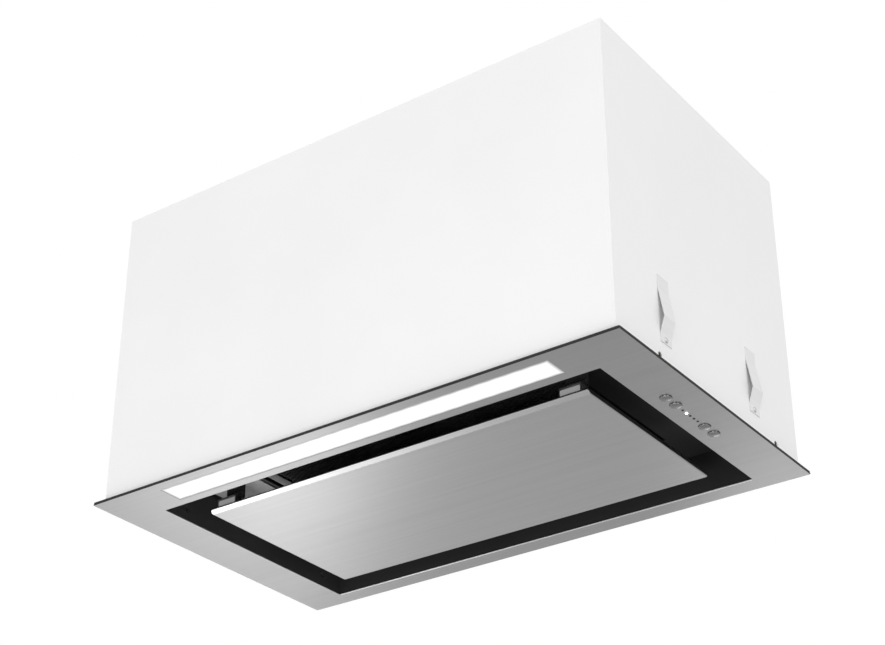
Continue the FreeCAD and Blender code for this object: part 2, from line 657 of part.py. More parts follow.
def ceiling_plate():
    x = X_APERTURE
    t = TRAY_SHEET
    plate = box(-X_TRAY, X_TRAY, Y_TRAY_FRONT, Y_TRAY_BACK, CEILING, CEILING_TOP)
    upstand = box(-x - t, x + t, Y_APERTURE_FRONT - t, Y_APERTURE_BACK + t, CEILING, FILTER_STOP + t)
    plate = joined([plate, upstand])
    plate = plate.cut(box(-x, x, Y_APERTURE_FRONT, Y_APERTURE_BACK, CEILING - 1, FILTER_STOP))
    lip = FILTER_GAP + FILTER_LIP
    plate = plate.cut(box(-x + lip, x - lip, Y_APERTURE_FRONT + lip, Y_APERTURE_BACK - lip,
                          FILTER_STOP - 1, FILTER_STOP + t + 1))
    g = LATCH_GAP
    plate = plate.cut(box(-LATCH_WIDTH / 2 - g, LATCH_WIDTH / 2 + g, Y_APERTURE_FRONT - t - 1,
                          Y_APERTURE_FRONT + 1, LATCH_BOTTOM - g, LATCH_TOP + g))
    for x in (-TONGUE_SPACING / 2, TONGUE_SPACING / 2):
        half = TONGUE_WIDTH / 2 + TONGUE_SLOT_GAP
        height = TONGUE_SHEET / 2 + TONGUE_SLOT_GAP
        plate = plate.cut(box(x - half, x + half, Y_APERTURE_BACK - 1, Y_APERTURE_BACK + t + 1,
                              FILTER_MIDDLE - height, FILTER_MIDDLE + height))
    return drilled(plate, cover_screw_places(), CASING_SCREW_RADIUS + CASING_SCREW_GAP, CEILING - 1,
                   CEILING_TOP + 1)


def driver_cover():
    plate = box(X_COVER_LEFT, X_COVER_RIGHT, Y_COVER_FRONT, Y_COVER_BACK, COVER_BOTTOM, CEILING)
    return drilled(plate, cover_screw_places(), CASING_SCREW_RADIUS + CASING_SCREW_GAP, COVER_BOTTOM - 1,
                   CEILING + 1)


def front_bevel(inset):
    # The wedge of space outside the panel's bevelled front edge, moved into the sheet by inset.
    margin = 1
    leg = PANEL_BEVEL + inset * sqrt(2) + 2 * margin
    x = X_PANEL + margin
    y = Y_PANEL_FRONT - margin
    z = PANEL_BOTTOM - margin
    return prism([V(-x, y, z), V(-x, y + leg, z), V(-x, y, z + leg)], X_AXIS * 2 * x)


def suction_panel():
    pan = rounded_box(-X_PANEL, X_PANEL, Y_PANEL_FRONT, Y_PANEL_BACK, PANEL_BOTTOM, PANEL_RIM,
                      PANEL_CORNER_RADIUS)
    pan = pan.makeFillet(PANEL_EDGE_RADIUS, level_edges(pan, PANEL_BOTTOM))
    t = PANEL_SHEET
    pocket = rounded_box(-X_PANEL + t, X_PANEL - t, Y_PANEL_FRONT + t, Y_PANEL_BACK - t, PANEL_FLOOR,
                         PANEL_RIM + 1, PANEL_CORNER_RADIUS - t)
    return pan.cut(front_bevel(0)).cut(pocket.cut(front_bevel(t)))


def panel_ribs():
    middle = (Y_PANEL_FRONT + Y_PANEL_BACK) / 2
    x = X_PANEL - RIB_END_GAP
    ribs = []
    for y in (middle - RIB_SPACING / 2, middle + RIB_SPACING / 2):
        flat = box(-x, x, y - RIB_WIDTH / 2, y + RIB_WIDTH / 2, PANEL_FLOOR, PANEL_FLOOR + RIB_SHEET)
        half = RIB_WIDTH / 2 - RIB_FLANGE
        hat = box(-x, x, y - half, y + half, PANEL_FLOOR, PANEL_FLOOR + RIB_HEIGHT)
        hollow = box(-x - 1, x + 1, y - half + RIB_SHEET, y + half - RIB_SHEET, PANEL_FLOOR - 1,
                     PANEL_FLOOR + RIB_HEIGHT - RIB_SHEET)
        ribs.append(joined([flat, hat]).cut(hollow))
    return group(ribs)


def panel_catches():
    one = box(CATCH_X - CATCH_WIDTH / 2, CATCH_X + CATCH_WIDTH / 2, CATCH_FRONT, CATCH_BACK, PANEL_FLOOR,
              CATCH_TOP)
    one = one.makeFillet(CATCH_EDGE_RADIUS, level_edges(one, CATCH_TOP))
    one = one.cut(front_bevel(PANEL_SHEET + CATCH_RIM_GAP))
    return group(both_sides(one))


def catch_clips():
    half = CATCH_WIDTH / 2 + CLIP_GAP
    t = CLIP_SHEET
    roof = box(CATCH_X - half - t, CATCH_X + half + t, CATCH_FRONT, POST_FRONT, CLIP_ROOF, CLIP_ROOF + t)
    leaf = CLIP_ROOF - CLIP_LEAF
    left = box(CATCH_X - half - t, CATCH_X - half, CATCH_FRONT, CATCH_BACK, leaf, CLIP_ROOF + t)
    right = box(CATCH_X + half, CATCH_X + half + t, CATCH_FRONT, CATCH_BACK, leaf, CLIP_ROOF + t)
    tab = box(CATCH_X - CATCH_WIDTH / 2, CATCH_X + CATCH_WIDTH / 2, POST_FRONT - t, POST_FRONT, CLIP_ROOF,
              CLIP_ROOF + t + CLIP_TAB)
    return group(both_sides(joined([roof, left, right, tab])))


def catch_posts():
    x0 = CATCH_X - POST_WIDTH / 2
    x1 = CATCH_X + POST_WIDTH / 2
    strip = box(x0, x1, POST_FRONT, POST_FRONT + POST_SHEET, CLIP_ROOF + POST_CLIP_LAP, CEILING)
    foot = box(x0, x1, POST_FRONT, POST_FRONT + POST_FOOT, CEILING - POST_SHEET, CEILING)
    return group(both_sides(joined([strip, foot])))


def hinge_arms():
    # An inverted L beside each hinge: down from the bar to the eye that holds the pin.
    x = HINGE_X - ARM_SHEET / 2
    top = CEILING - ARM_CEILING_GAP
    drop = box(x, x + ARM_SHEET, HINGE_Y - EYE_RADIUS, HINGE_Y + EYE_RADIUS, HINGE_Z, top)
    eye = cylinder(EYE_RADIUS, V(x, HINGE_Y, HINGE_Z), X_AXIS, ARM_SHEET)
    bar = box(x, x + ARM_SHEET, HINGE_Y - EYE_RADIUS, Y_TRAY_BACK_IN, top - ARM_BAR, top)
    foot = box(HINGE_X - ARM_FOOT_WIDTH / 2, HINGE_X + ARM_FOOT_WIDTH / 2, Y_TRAY_BACK_IN - ARM_FOOT_SHEET,
               Y_TRAY_BACK_IN, top - ARM_BAR, top)
    hole = cylinder(HINGE_PIN_RADIUS + HINGE_PRESS_GAP, V(x - 1, HINGE_Y, HINGE_Z), X_AXIS, ARM_SHEET + 2)
    return group(both_sides(joined([drop, eye, bar, foot]).cut(hole)))


def hinge_half():
    return ARM_SHEET / 2 + EAR_GAP + EAR_SHEET


def hinge_pins():
    reach = hinge_half() + HINGE_HEAD_GAP
    pin = cylinder(HINGE_PIN_RADIUS, V(HINGE_X - reach, HINGE_Y, HINGE_Z), X_AXIS, 2 * reach)
    heads = [cylinder(HINGE_PIN_HEAD_RADIUS, V(x, HINGE_Y, HINGE_Z), X_AXIS, HINGE_PIN_HEAD)
             for x in (HINGE_X - reach - HINGE_PIN_HEAD, HINGE_X + reach)]
    return group(both_sides(joined([pin] + heads)))


def panel_hinges():
    reach = hinge_half()
    foot = box(HINGE_X - reach, HINGE_X + reach, HINGE_Y - EAR_RADIUS - EAR_FOOT, HINGE_Y + EAR_RADIUS,
               PANEL_FLOOR, PANEL_FLOOR + EAR_SHEET)
    pieces = [foot]
    for x in (HINGE_X - reach, HINGE_X + reach - EAR_SHEET):
        pieces.append(box(x, x + EAR_SHEET, HINGE_Y - EAR_RADIUS, HINGE_Y + EAR_RADIUS, PANEL_FLOOR, HINGE_Z))
        pieces.append(cylinder(EAR_RADIUS, V(x, HINGE_Y, HINGE_Z), X_AXIS, EAR_SHEET))
    hole = cylinder(HINGE_PIN_RADIUS + HINGE_RUNNING_GAP, V(HINGE_X - reach - 1, HINGE_Y, HINGE_Z), X_AXIS,
                    2 * reach + 2)
    return group(both_sides(joined(pieces).cut(hole)))


def filter_frame():
    t = FILTER_SHEET
    ring = box(-X_FILTER, X_FILTER, Y_FILTER_FRONT, Y_FILTER_BACK, FILTER_BOTTOM, FILTER_TOP)
    b = FILTER_BORDER
    ring = ring.cut(box(-X_FILTER + b, X_FILTER - b, Y_FILTER_FRONT + b, Y_FILTER_BACK - b,
                        FILTER_BOTTOM - 1, FILTER_TOP + 1))
    ring = ring.cut(box(-X_FILTER + t, X_FILTER - t, Y_FILTER_FRONT + t, Y_FILTER_BACK - t,
                        FILTER_BOTTOM + t, FILTER_TOP - t))
    g = LATCH_GAP
    ring = ring.cut(box(-LATCH_WIDTH / 2 - g, LATCH_WIDTH / 2 + g, Y_FILTER_FRONT - 1, Y_FILTER_FRONT + t + 1,
                        LATCH_BOTTOM - g, LATCH_TOP + g))
    reach = FILTER_GAP + TRAY_SHEET + TONGUE_REACH
    tongues = [box(x - TONGUE_WIDTH / 2, x + TONGUE_WIDTH / 2, Y_FILTER_BACK - t, Y_FILTER_BACK + reach,
                   FILTER_MIDDLE - TONGUE_SHEET / 2, FILTER_MIDDLE + TONGUE_SHEET / 2)
               for x in (-TONGUE_SPACING / 2, TONGUE_SPACING / 2)]
    return joined([ring] + tongues)


def filter_mesh():
    # Two face layers, cut away round the latch.
    g = FILTER_SHEET + MESH_GAP
    x = X_LATCH_BASE + MESH_GAP
    notch = box(-x, x, Y_FILTER_FRONT, Y_LATCH_BASE_BACK + MESH_GAP, FILTER_BOTTOM, FILTER_TOP)
    layers = []
    for z in (FILTER_BOTTOM + g, FILTER_TOP - g - MESH_SHEET):
        layer = box(-X_FILTER + g, X_FILTER - g, Y_FILTER_FRONT + g, Y_FILTER_BACK - g, z, z + MESH_SHEET)
        layers.append(layer.cut(notch))
    return group(layers)


def latch_base():
    t = FILTER_SHEET
    g = LATCH_GAP
    body = box(-X_LATCH_BASE, X_LATCH_BASE, Y_LATCH_BASE, Y_LATCH_BASE_BACK, FILTER_BOTTOM + t,
               FILTER_TOP - t)
    y1 = Y_LATCH_TAIL + LATCH_TRAVEL + g
    channel = box(-LATCH_WIDTH / 2 - g, LATCH_WIDTH / 2 + g, Y_LATCH_BASE - 1, y1, LATCH_BOTTOM - g,
                  LATCH_TOP + g)
    window = box(-LATCH_GRIP_WIDTH / 2 - g, LATCH_GRIP_WIDTH / 2 + g, Y_GRIP - g, y1, FILTER_BOTTOM - 1,
                 LATCH_BOTTOM - g)
    return body.cut(channel).cut(window)


def filter_latch():
    g = LATCH_GAP
    front = Y_APERTURE_FRONT - TRAY_SHEET - LATCH_REACH
    bolt = box(-LATCH_WIDTH / 2, LATCH_WIDTH / 2, front, Y_LATCH_TAIL, LATCH_BOTTOM, LATCH_TOP)
    neck = box(-LATCH_WIDTH / 2, LATCH_WIDTH / 2, Y_GRIP, Y_LATCH_TAIL, LATCH_BOTTOM - 2 * g, LATCH_TOP)
    grip = box(-LATCH_GRIP_WIDTH / 2, LATCH_GRIP_WIDTH / 2, Y_GRIP, Y_LATCH_TAIL,
               FILTER_BOTTOM - LATCH_GRIP_DROP, LATCH_BOTTOM - 2 * g)
    return joined([bolt, neck, grip])


def lamp_diffuser():
    g = LAMP_WINDOW_GAP
    lens = box(-X_LAMP + g, X_LAMP - g, Y_LAMP_FRONT + g, Y_LAMP_BACK - g, FLANGE_BOTTOM + LAMP_RECESS,
               DIFFUSER_TOP)
    f = LAMP_FLANGE
    rim = box(-X_LAMP - f, X_LAMP + f, Y_LAMP_FRONT - f, Y_LAMP_BACK + f, FLANGE_TOP, DIFFUSER_TOP)
    return joined([lens, rim])


def lamp_housing():
    f = LAMP_FLANGE
    w = LAMP_WALL
    x = X_LAMP + f
    body = box(-x, x, Y_LAMP_FRONT - f, Y_LAMP_BACK + f, DIFFUSER_TOP, LAMP_ROOF)
    body = body.cut(box(-x + w, x - w, Y_LAMP_FRONT - f + w, Y_LAMP_BACK + f - w, DIFFUSER_TOP - 1,
                        LAMP_ROOF - w))
    ear = box(x, x + LAMP_EAR, Y_LAMP_FRONT - f, Y_LAMP_BACK + f, FLANGE_TOP, FLANGE_TOP + LAMP_EAR_SHEET)
    hole = cylinder(STUD_RADIUS + STUD_GAP, V(LAMP_STUD_X, LAMP_STUD_Y, FLANGE_TOP - 1), Z_AXIS,
                    LAMP_EAR_SHEET + 2)
    return joined([body] + both_sides(ear.cut(hole)))


def lamp_board():
    g = LAMP_BOARD_GAP + LAMP_WALL - LAMP_FLANGE
    top = LAMP_ROOF - LAMP_WALL
    low = top - LAMP_BOARD_SHEET
    pieces = [box(-X_LAMP + g, X_LAMP - g, Y_LAMP_FRONT + g, Y_LAMP_BACK - g, low, top)]
    pitch = 2 * X_LAMP / LAMP_CHIP_COUNT
    half = LAMP_CHIP_SIZE / 2
    for i in range(LAMP_CHIP_COUNT):
        x = -X_LAMP + pitch * (i + 0.5)
        pieces.append(box(x - half, x + half, LAMP_STUD_Y - half, LAMP_STUD_Y + half, low - LAMP_CHIP_HEIGHT,
                          low))
    return joined(pieces)


def lamp_driver():
    right = -X_APERTURE - TRAY_SHEET - LAMP_DRIVER_GAP
    return rounded_box(right - LAMP_DRIVER_WIDTH, right, Y_DRIVER - LAMP_DRIVER_LENGTH / 2,
                       Y_DRIVER + LAMP_DRIVER_LENGTH / 2, CEILING_TOP, CEILING_TOP + LAMP_DRIVER_HEIGHT,
                       LAMP_DRIVER_CORNER_RADIUS)


def control_housing():
    w = CONTROL_WALL
    h = CONTROL_HALF
    top = FLANGE_TOP + CONTROL_HEIGHT
    body = box(X_CONTROL - h, X_CONTROL + h, -Y_CONTROL, Y_CONTROL, FLANGE_TOP, top)
    body = body.cut(box(X_CONTROL - h + w, X_CONTROL + h - w, -Y_CONTROL + w, Y_CONTROL - w, FLANGE_TOP - 1,
                        top - w))
    pieces = [body]
    for y in (-Y_CONTROL - CONTROL_EAR, Y_CONTROL):
        ear = box(X_CONTROL - h, X_CONTROL + h, y, y + CONTROL_EAR, FLANGE_TOP,
                  FLANGE_TOP + CONTROL_EAR_SHEET)
        hole = cylinder(STUD_RADIUS + STUD_GAP, V(X_CONTROL, y + CONTROL_EAR / 2, FLANGE_TOP - 1), Z_AXIS,
                        CONTROL_EAR_SHEET + 2)
        pieces.append(ear.cut(hole))
    return joined(pieces)


def control_board():
    x = CONTROL_HALF - CONTROL_WALL - CONTROL_CLEARANCE
    y = Y_CONTROL - CONTROL_WALL - CONTROL_CLEARANCE
    return box(X_CONTROL - x, X_CONTROL + x, -y, y, CONTROL_BOARD, CONTROL_BOARD + CONTROL_BOARD_SHEET)


def push_switches():
    half = SWITCH_SIZE / 2
    switches = []
    for y in BUTTON_PLACES:
        body = box(X_CONTROL - half, X_CONTROL + half, y - half, y + half, SWITCH_BOTTOM, CONTROL_BOARD)
        bore = cylinder(BUTTON_STEM_RADIUS + SWITCH_BORE_GAP, V(X_CONTROL, y, SWITCH_BOTTOM - 1), Z_AXIS,
                        SWITCH_HEIGHT - SWITCH_ROOF + 1)
        switches.append(body.cut(bore))
    return group(switches)


def button(y):
    low = FLANGE_BOTTOM - BUTTON_PROUD
    seat = FLANGE_TOP + BUTTON_SEAT_GAP
    crown_radius = (BUTTON_RADIUS ** 2 + BUTTON_CROWN ** 2) / (2 * BUTTON_CROWN)
    crown = Part.makeSphere(crown_radius, V(X_CONTROL, y, low + crown_radius))
    cap = cylinder(BUTTON_RADIUS, V(X_CONTROL, y, low), Z_AXIS, seat - low).common(crown)
    cap = cap.makeFillet(BUTTON_EDGE_RADIUS, level_edges(cap, low + BUTTON_CROWN))
    shoulder = cylinder(BUTTON_RADIUS + BUTTON_SHOULDER, V(X_CONTROL, y, seat), Z_AXIS, BUTTON_SHOULDER_SHEET)
    stem = cylinder(BUTTON_STEM_RADIUS, V(X_CONTROL, y, seat), Z_AXIS, SWITCH_BOTTOM + BUTTON_STEM_LAP - seat)
    return joined([cap, shoulder, stem])


def indicator_lens(y):
    low = FLANGE_BOTTOM - INDICATOR_PROUD
    rod = cylinder(INDICATOR_RADIUS, V(X_CONTROL, y, low), Z_AXIS, CONTROL_BOARD - INDICATOR_BOARD_GAP - low)
    head = cylinder(INDICATOR_RADIUS + INDICATOR_HEAD, V(X_CONTROL, y, FLANGE_TOP), Z_AXIS,
                    INDICATOR_HEAD_SHEET)
    return joined([rod, head])


def indicator_lenses():
    return group([indicator_lens(y) for i, y in enumerate(indicator_places()) if i != INDICATOR_LIT])


def scroll_outline(wall, top):
    # Four-centre spiral: each quarter turn is an arc about the next corner of a small square.
    s = SCROLL_HALF
    y = BLOWER_Y
    z = BLOWER_Z
    radii = [SCROLL_RADIUS + SCROLL_GROWTH * i + wall for i in range(3)]
    centres = [V(0, y - s, z - s), V(0, y + s, z - s), V(0, y + s, z + s)]
    edges = []
    for centre, radius, start in zip(centres, radii, (90, 180, 270)):
        turns = [radians(start + a) for a in (0, 45, 90)]
        points = [centre + V(0, cos(a), sin(a)) * radius for a in turns]
        edges.append(Part.Arc(*points).toShape())
    first = edges[0].Vertexes[0].Point
    last = edges[2].Vertexes[-1].Point
    tongue = V(0, Y_OUTLET_FRONT - wall, first.z)
    corners = [last, V(0, last.y, top), V(0, tongue.y, top), tongue, first]
    lines = [Part.makeLine(a, b) for a, b in zip(corners, corners[1:])]
    return Part.Face(Part.Wire(edges + lines))


def scroll():
    outer = scroll_outline(SCROLL_WALL, NECK_TOP)
    outer.translate(V(-X_SCROLL, 0, 0))
    shell = outer.extrude(X_AXIS * (2 * X_SCROLL))
    inner = scroll_outline(0, NECK_TOP + 1)
    inner.translate(V(-X_SCROLL_IN, 0, 0))
    axis = V(0, BLOWER_Y, BLOWER_Z)
    lips = [cylinder(INLET_RADIUS + INLET_LIP_WALL, axis + X_AXIS * x, X_AXIS, INLET_LIP)
            for x in (-X_SCROLL - INLET_LIP, X_SCROLL)]
    f = OUTLET_FLANGE
    flange = box(-X_SCROLL - f, X_SCROLL + f, Y_OUTLET_FRONT - SCROLL_WALL - f,
                 Y_OUTLET_BACK + SCROLL_WALL + f, NECK_TOP - OUTLET_FLANGE_SHEET, NECK_TOP)
    shell = joined([shell, flange] + lips)
    shell = shell.cut(inner.extrude(X_AXIS * (2 * X_SCROLL_IN)))
    reach = X_SCROLL + INLET_LIP + 1
    return shell.cut(cylinder(INLET_RADIUS, axis - X_AXIS * reach, X_AXIS, 2 * reach))


def scroll_half(side):
    far = X_SCROLL + OUTLET_FLANGE + 1
    x0 = min(0, side * far)
    return scroll().common(box(x0, x0 + far, -Y_CASE, Y_CASE, CEILING, CASING_TOP))


def outlet_gasket():
    f = OUTLET_FLANGE
    pad = box(-X_SCROLL - f, X_SCROLL + f, Y_OUTLET_FRONT - SCROLL_WALL - f, Y_OUTLET_BACK + SCROLL_WALL + f,
              NECK_TOP, CASING_ROOF)
    return pad.cut(box(-X_SCROLL_IN, X_SCROLL_IN, Y_OUTLET_FRONT, Y_OUTLET_BACK, NECK_TOP - 1,
                       CASING_ROOF + 1))


def fan_axis(x):
    return V(x, BLOWER_Y, BLOWER_Z)


def impeller():
    half = IMPELLER_WIDTH / 2
    disc = cylinder(IMPELLER_RADIUS, fan_axis(-IMPELLER_DISC / 2), X_AXIS, IMPELLER_DISC)
    hub = cylinder(HUB_RADIUS, fan_axis(-IMPELLER_DISC / 2), X_AXIS, HUB_LENGTH)
    rings = [tube(IMPELLER_RADIUS, IMPELLER_RADIUS - IMPELLER_RING_DEPTH, fan_axis(x), X_AXIS, IMPELLER_RING)
             for x in (-half, half - IMPELLER_RING)]
    tip = BLOWER_Z + IMPELLER_RADIUS - IMPELLER_RING_DEPTH / 2
    blade = box(-half, half, BLOWER_Y - BLADE_SHEET / 2, BLOWER_Y + BLADE_SHEET / 2,
                BLOWER_Z + IMPELLER_RADIUS - BLADE_DEPTH, tip)
    pivot = V(0, BLOWER_Y, tip)
    blade.rotate(pivot, X_AXIS, BLADE_TILT)
    blades = []
    for i in range(BLADE_COUNT):
        one = blade.copy()
        one.rotate(fan_axis(0), X_AXIS, 360.0 * i / BLADE_COUNT)
        blades.append(one)
    wheel = disc.multiFuse([hub] + rings + blades)
    bore = SHAFT_RADIUS + HUB_PRESS_GAP
    return wheel.cut(cylinder(bore, fan_axis(-IMPELLER_DISC), X_AXIS, HUB_LENGTH + 2 * IMPELLER_DISC))


def motor_shaft():
    return cylinder(SHAFT_RADIUS, fan_axis(SHAFT_LEFT), X_AXIS, SHAFT_RIGHT - SHAFT_LEFT)


def rotor_core():
    start = fan_axis(MOTOR_MIDDLE - STATOR_LENGTH / 2)
    return tube(ROTOR_RADIUS, SHAFT_RADIUS + HUB_PRESS_GAP, start, X_AXIS, STATOR_LENGTH)


def stator_core():
    outer = MOTOR_RADIUS - MOTOR_WALL - STATOR_GAP
    start = fan_axis(MOTOR_MIDDLE - STATOR_LENGTH / 2)
    return tube(outer, ROTOR_RADIUS + AIR_GAP, start, X_AXIS, STATOR_LENGTH)


def bearing_cup(plate_x, cup_x):
    cup = BEARING_RADIUS + BEARING_CUP_WALL
    plate = cylinder(MOTOR_RADIUS, fan_axis(plate_x), X_AXIS, MOTOR_END_SHEET)
    boss = cylinder(cup, fan_axis(cup_x), X_AXIS, BEARING_WIDTH)
    bore = cylinder(BEARING_RADIUS + BEARING_SEAT_GAP, fan_axis(MOTOR_LEFT - 1), X_AXIS, MOTOR_LENGTH + 2)
    return joined([plate, boss]).cut(bore)


def motor_body():
    end = MOTOR_LENGTH - MOTOR_END_SHEET
    can = tube(MOTOR_RADIUS, MOTOR_RADIUS - MOTOR_WALL, fan_axis(MOTOR_LEFT), X_AXIS, end)
    return joined([can, bearing_cup(MOTOR_LEFT, MOTOR_LEFT)])


def motor_end_shield():
    return bearing_cup(MOTOR_RIGHT - MOTOR_END_SHEET, MOTOR_RIGHT - BEARING_WIDTH)


def motor_bearings():
    inner = SHAFT_RADIUS + SHAFT_RUNNING_GAP
    return group([tube(BEARING_RADIUS, inner, fan_axis(x), X_AXIS, BEARING_WIDTH)
                  for x in (MOTOR_LEFT, MOTOR_RIGHT - BEARING_WIDTH)])


def arm_turns():
    return [90.0, 210.0, 330.0]


def motor_bracket():
    bore = SHAFT_RADIUS + BRACKET_BORE_GAP
    pieces = [cylinder(MOTOR_RADIUS, fan_axis(BRACKET_LEFT), X_AXIS, BRACKET_SHEET)]
    for turn in arm_turns():
        arm = box(BRACKET_LEFT, MOTOR_LEFT, BLOWER_Y, BLOWER_Y + BRACKET_RADIUS,
                  BLOWER_Z - BRACKET_ARM_WIDTH / 2, BLOWER_Z + BRACKET_ARM_WIDTH / 2)
        arm.rotate(fan_axis(0), X_AXIS, turn)
        pieces.append(arm)
    return joined(pieces).cut(cylinder(bore, fan_axis(BRACKET_LEFT - 1), X_AXIS, BRACKET_SHEET + 2))


def vibration_mounts():
    mounts = []
    for turn in arm_turns():
        reach = BRACKET_RADIUS - MOUNT_RADIUS
        place = fan_axis(MOTOR_LEFT) + V(0, cos(radians(turn)), sin(radians(turn))) * reach
        mounts.append(cylinder(MOUNT_RADIUS, place, X_AXIS, -X_SCROLL - MOTOR_LEFT))
    return group(mounts)


def power_half():
    return POWER_WIDTH / 2, POWER_DEPTH / 2


def power_box():
    x, y = power_half()
    w = POWER_WALL
    body = box(POWER_X - x, POWER_X + x, POWER_Y - y, POWER_Y + y, POWER_FLOOR + w, CASING_ROOF)
    body = body.cut(box(POWER_X - x + w, POWER_X + x - w, POWER_Y - y + w, POWER_Y + y - w, POWER_FLOOR,
                        CASING_ROOF - w))
    return drilled(body, [(GLAND_X, GLAND_Y)], GLAND_THREAD_RADIUS + GLAND_HOLE_GAP, CASING_ROOF - w - 1,
                   CASING_ROOF + 1)


def power_lid():
    x, y = power_half()
    w = POWER_WALL
    plate = box(POWER_X - x, POWER_X + x, POWER_Y - y, POWER_Y + y, POWER_FLOOR, POWER_FLOOR + w)
    g = w + POWER_LID_GAP
    plug = box(POWER_X - x + g, POWER_X + x - g, POWER_Y - y + g, POWER_Y + y - g, POWER_FLOOR + w,
               POWER_FLOOR + w + POWER_LID_LIP)
    return joined([plate, plug])


def power_board():
    x, y = power_half()
    g = POWER_WALL + POWER_LID_GAP
    z = POWER_FLOOR + POWER_WALL + POWER_LID_LIP
    slab = box(POWER_X - x + g, POWER_X + x - g, POWER_Y - y + g, POWER_Y + y - g, z, z + POWER_BOARD_SHEET)
    relay_x = POWER_X - x + 2 * g
    relay_y = POWER_Y + y - 2 * g
    relay = box(relay_x, relay_x + POWER_BOARD_RISE, relay_y - POWER_BOARD_RISE, relay_y, z,
                z + POWER_BOARD_SHEET + POWER_BOARD_RISE)
    return joined([slab, relay])


def run_capacitor():
    x, y = power_half()
    start = V(POWER_X - CAPACITOR_LENGTH / 2, POWER_Y - y - CAPACITOR_RADIUS - CAPACITOR_GAP,
              CASING_ROOF - CAPACITOR_RADIUS - CAPACITOR_GAP)
    return cylinder(CAPACITOR_RADIUS, start, X_AXIS, CAPACITOR_LENGTH)


def cable_gland():
    hex_top = CASING_TOP + GLAND_HEX_HEIGHT
    thread = CASING_TOP - GLAND_THREAD_LENGTH
    body = joined([
        cylinder(GLAND_THREAD_RADIUS, V(GLAND_X, GLAND_Y, thread), Z_AXIS, GLAND_THREAD_LENGTH),
        hexagon(GLAND_HEX_RADIUS, GLAND_X, GLAND_Y, CASING_TOP, GLAND_HEX_HEIGHT),
        cylinder(GLAND_DOME_RADIUS, V(GLAND_X, GLAND_Y, hex_top), Z_AXIS, GLAND_DOME_HEIGHT),
    ])
    length = GLAND_THREAD_LENGTH + GLAND_HEX_HEIGHT + GLAND_DOME_HEIGHT
    return body.cut(cylinder(GLAND_BORE, V(GLAND_X, GLAND_Y, thread), Z_AXIS, length))


def gland_nut():
    z = CASING_ROOF - POWER_WALL - GLAND_NUT_HEIGHT
    nut = hexagon(GLAND_HEX_RADIUS, GLAND_X, GLAND_Y, z, GLAND_NUT_HEIGHT)
    bore = GLAND_THREAD_RADIUS + GLAND_HOLE_GAP
    return nut.cut(cylinder(bore, V(GLAND_X, GLAND_Y, z), Z_AXIS, GLAND_NUT_HEIGHT))


def duct_collar():
    base = cylinder(COLLAR_RADIUS + COLLAR_RIM, V(0, COLLAR_Y, CASING_TOP), Z_AXIS, COLLAR_RIM_SHEET)
    wall = cylinder(COLLAR_RADIUS, V(0, COLLAR_Y, CASING_TOP), Z_AXIS, COLLAR_HEIGHT)
    collar = joined([base, wall]).cut(cylinder(COLLAR_INNER, V(0, COLLAR_Y, CASING_TOP - 1), Z_AXIS,
                                               COLLAR_HEIGHT + 2))
    collar = drilled(collar, collar_screw_places(), COLLAR_SCREW_RADIUS + COLLAR_SCREW_GAP, CASING_TOP - 1,
                     CASING_TOP + COLLAR_RIM_SHEET + 1)
    # Bosses for the damper pin and stops under the free edges of the flaps, both inside the bore.
    middle = COLLAR_RADIUS - COLLAR_WALL / 2
    ring = tube(middle, BOSS_INNER, V(0, COLLAR_Y, CASING_TOP), Z_AXIS, COLLAR_HEIGHT)
    half = DAMPER_BOSS / 2
    bosses = box(-half, half, COLLAR_Y - COLLAR_RADIUS, COLLAR_Y + COLLAR_RADIUS, DAMPER_Z - half,
                 DAMPER_Z + half)
    pin = cylinder(DAMPER_PIN_RADIUS + DAMPER_PIN_SEAT_GAP, V(0, COLLAR_Y - COLLAR_INNER, DAMPER_Z), Y_AXIS,
                   2 * COLLAR_INNER)
    stop_top = DAMPER_Z - DAMPER_SHEET / 2 - DAMPER_STOP_GAP
    stop_ring = tube(middle, COLLAR_INNER - DAMPER_STOP, V(0, COLLAR_Y, stop_top - DAMPER_STOP_HEIGHT),
                     Z_AXIS, DAMPER_STOP_HEIGHT)
    stops = stop_ring.common(box(-COLLAR_RADIUS, COLLAR_RADIUS, COLLAR_Y - DAMPER_STOP_WIDTH / 2,
                                 COLLAR_Y + DAMPER_STOP_WIDTH / 2, CASING_TOP, DAMPER_Z))
    return joined([collar, bosses.common(ring).cut(pin), stops])


def collar_screws():
    return group([screw(x, y, CASING_TOP + COLLAR_RIM_SHEET, COLLAR_SCREW_RADIUS, COLLAR_SCREW_LENGTH,
                        SCREW_HEAD_RADIUS, SCREW_HEAD_HEIGHT) for x, y in collar_screw_places()])


def damper_pin():
    length = sqrt(COLLAR_INNER ** 2 - DAMPER_PIN_RADIUS ** 2) - DAMPER_EDGE_GAP
    return cylinder(DAMPER_PIN_RADIUS, V(0, COLLAR_Y - length, DAMPER_Z), Y_AXIS, 2 * length)


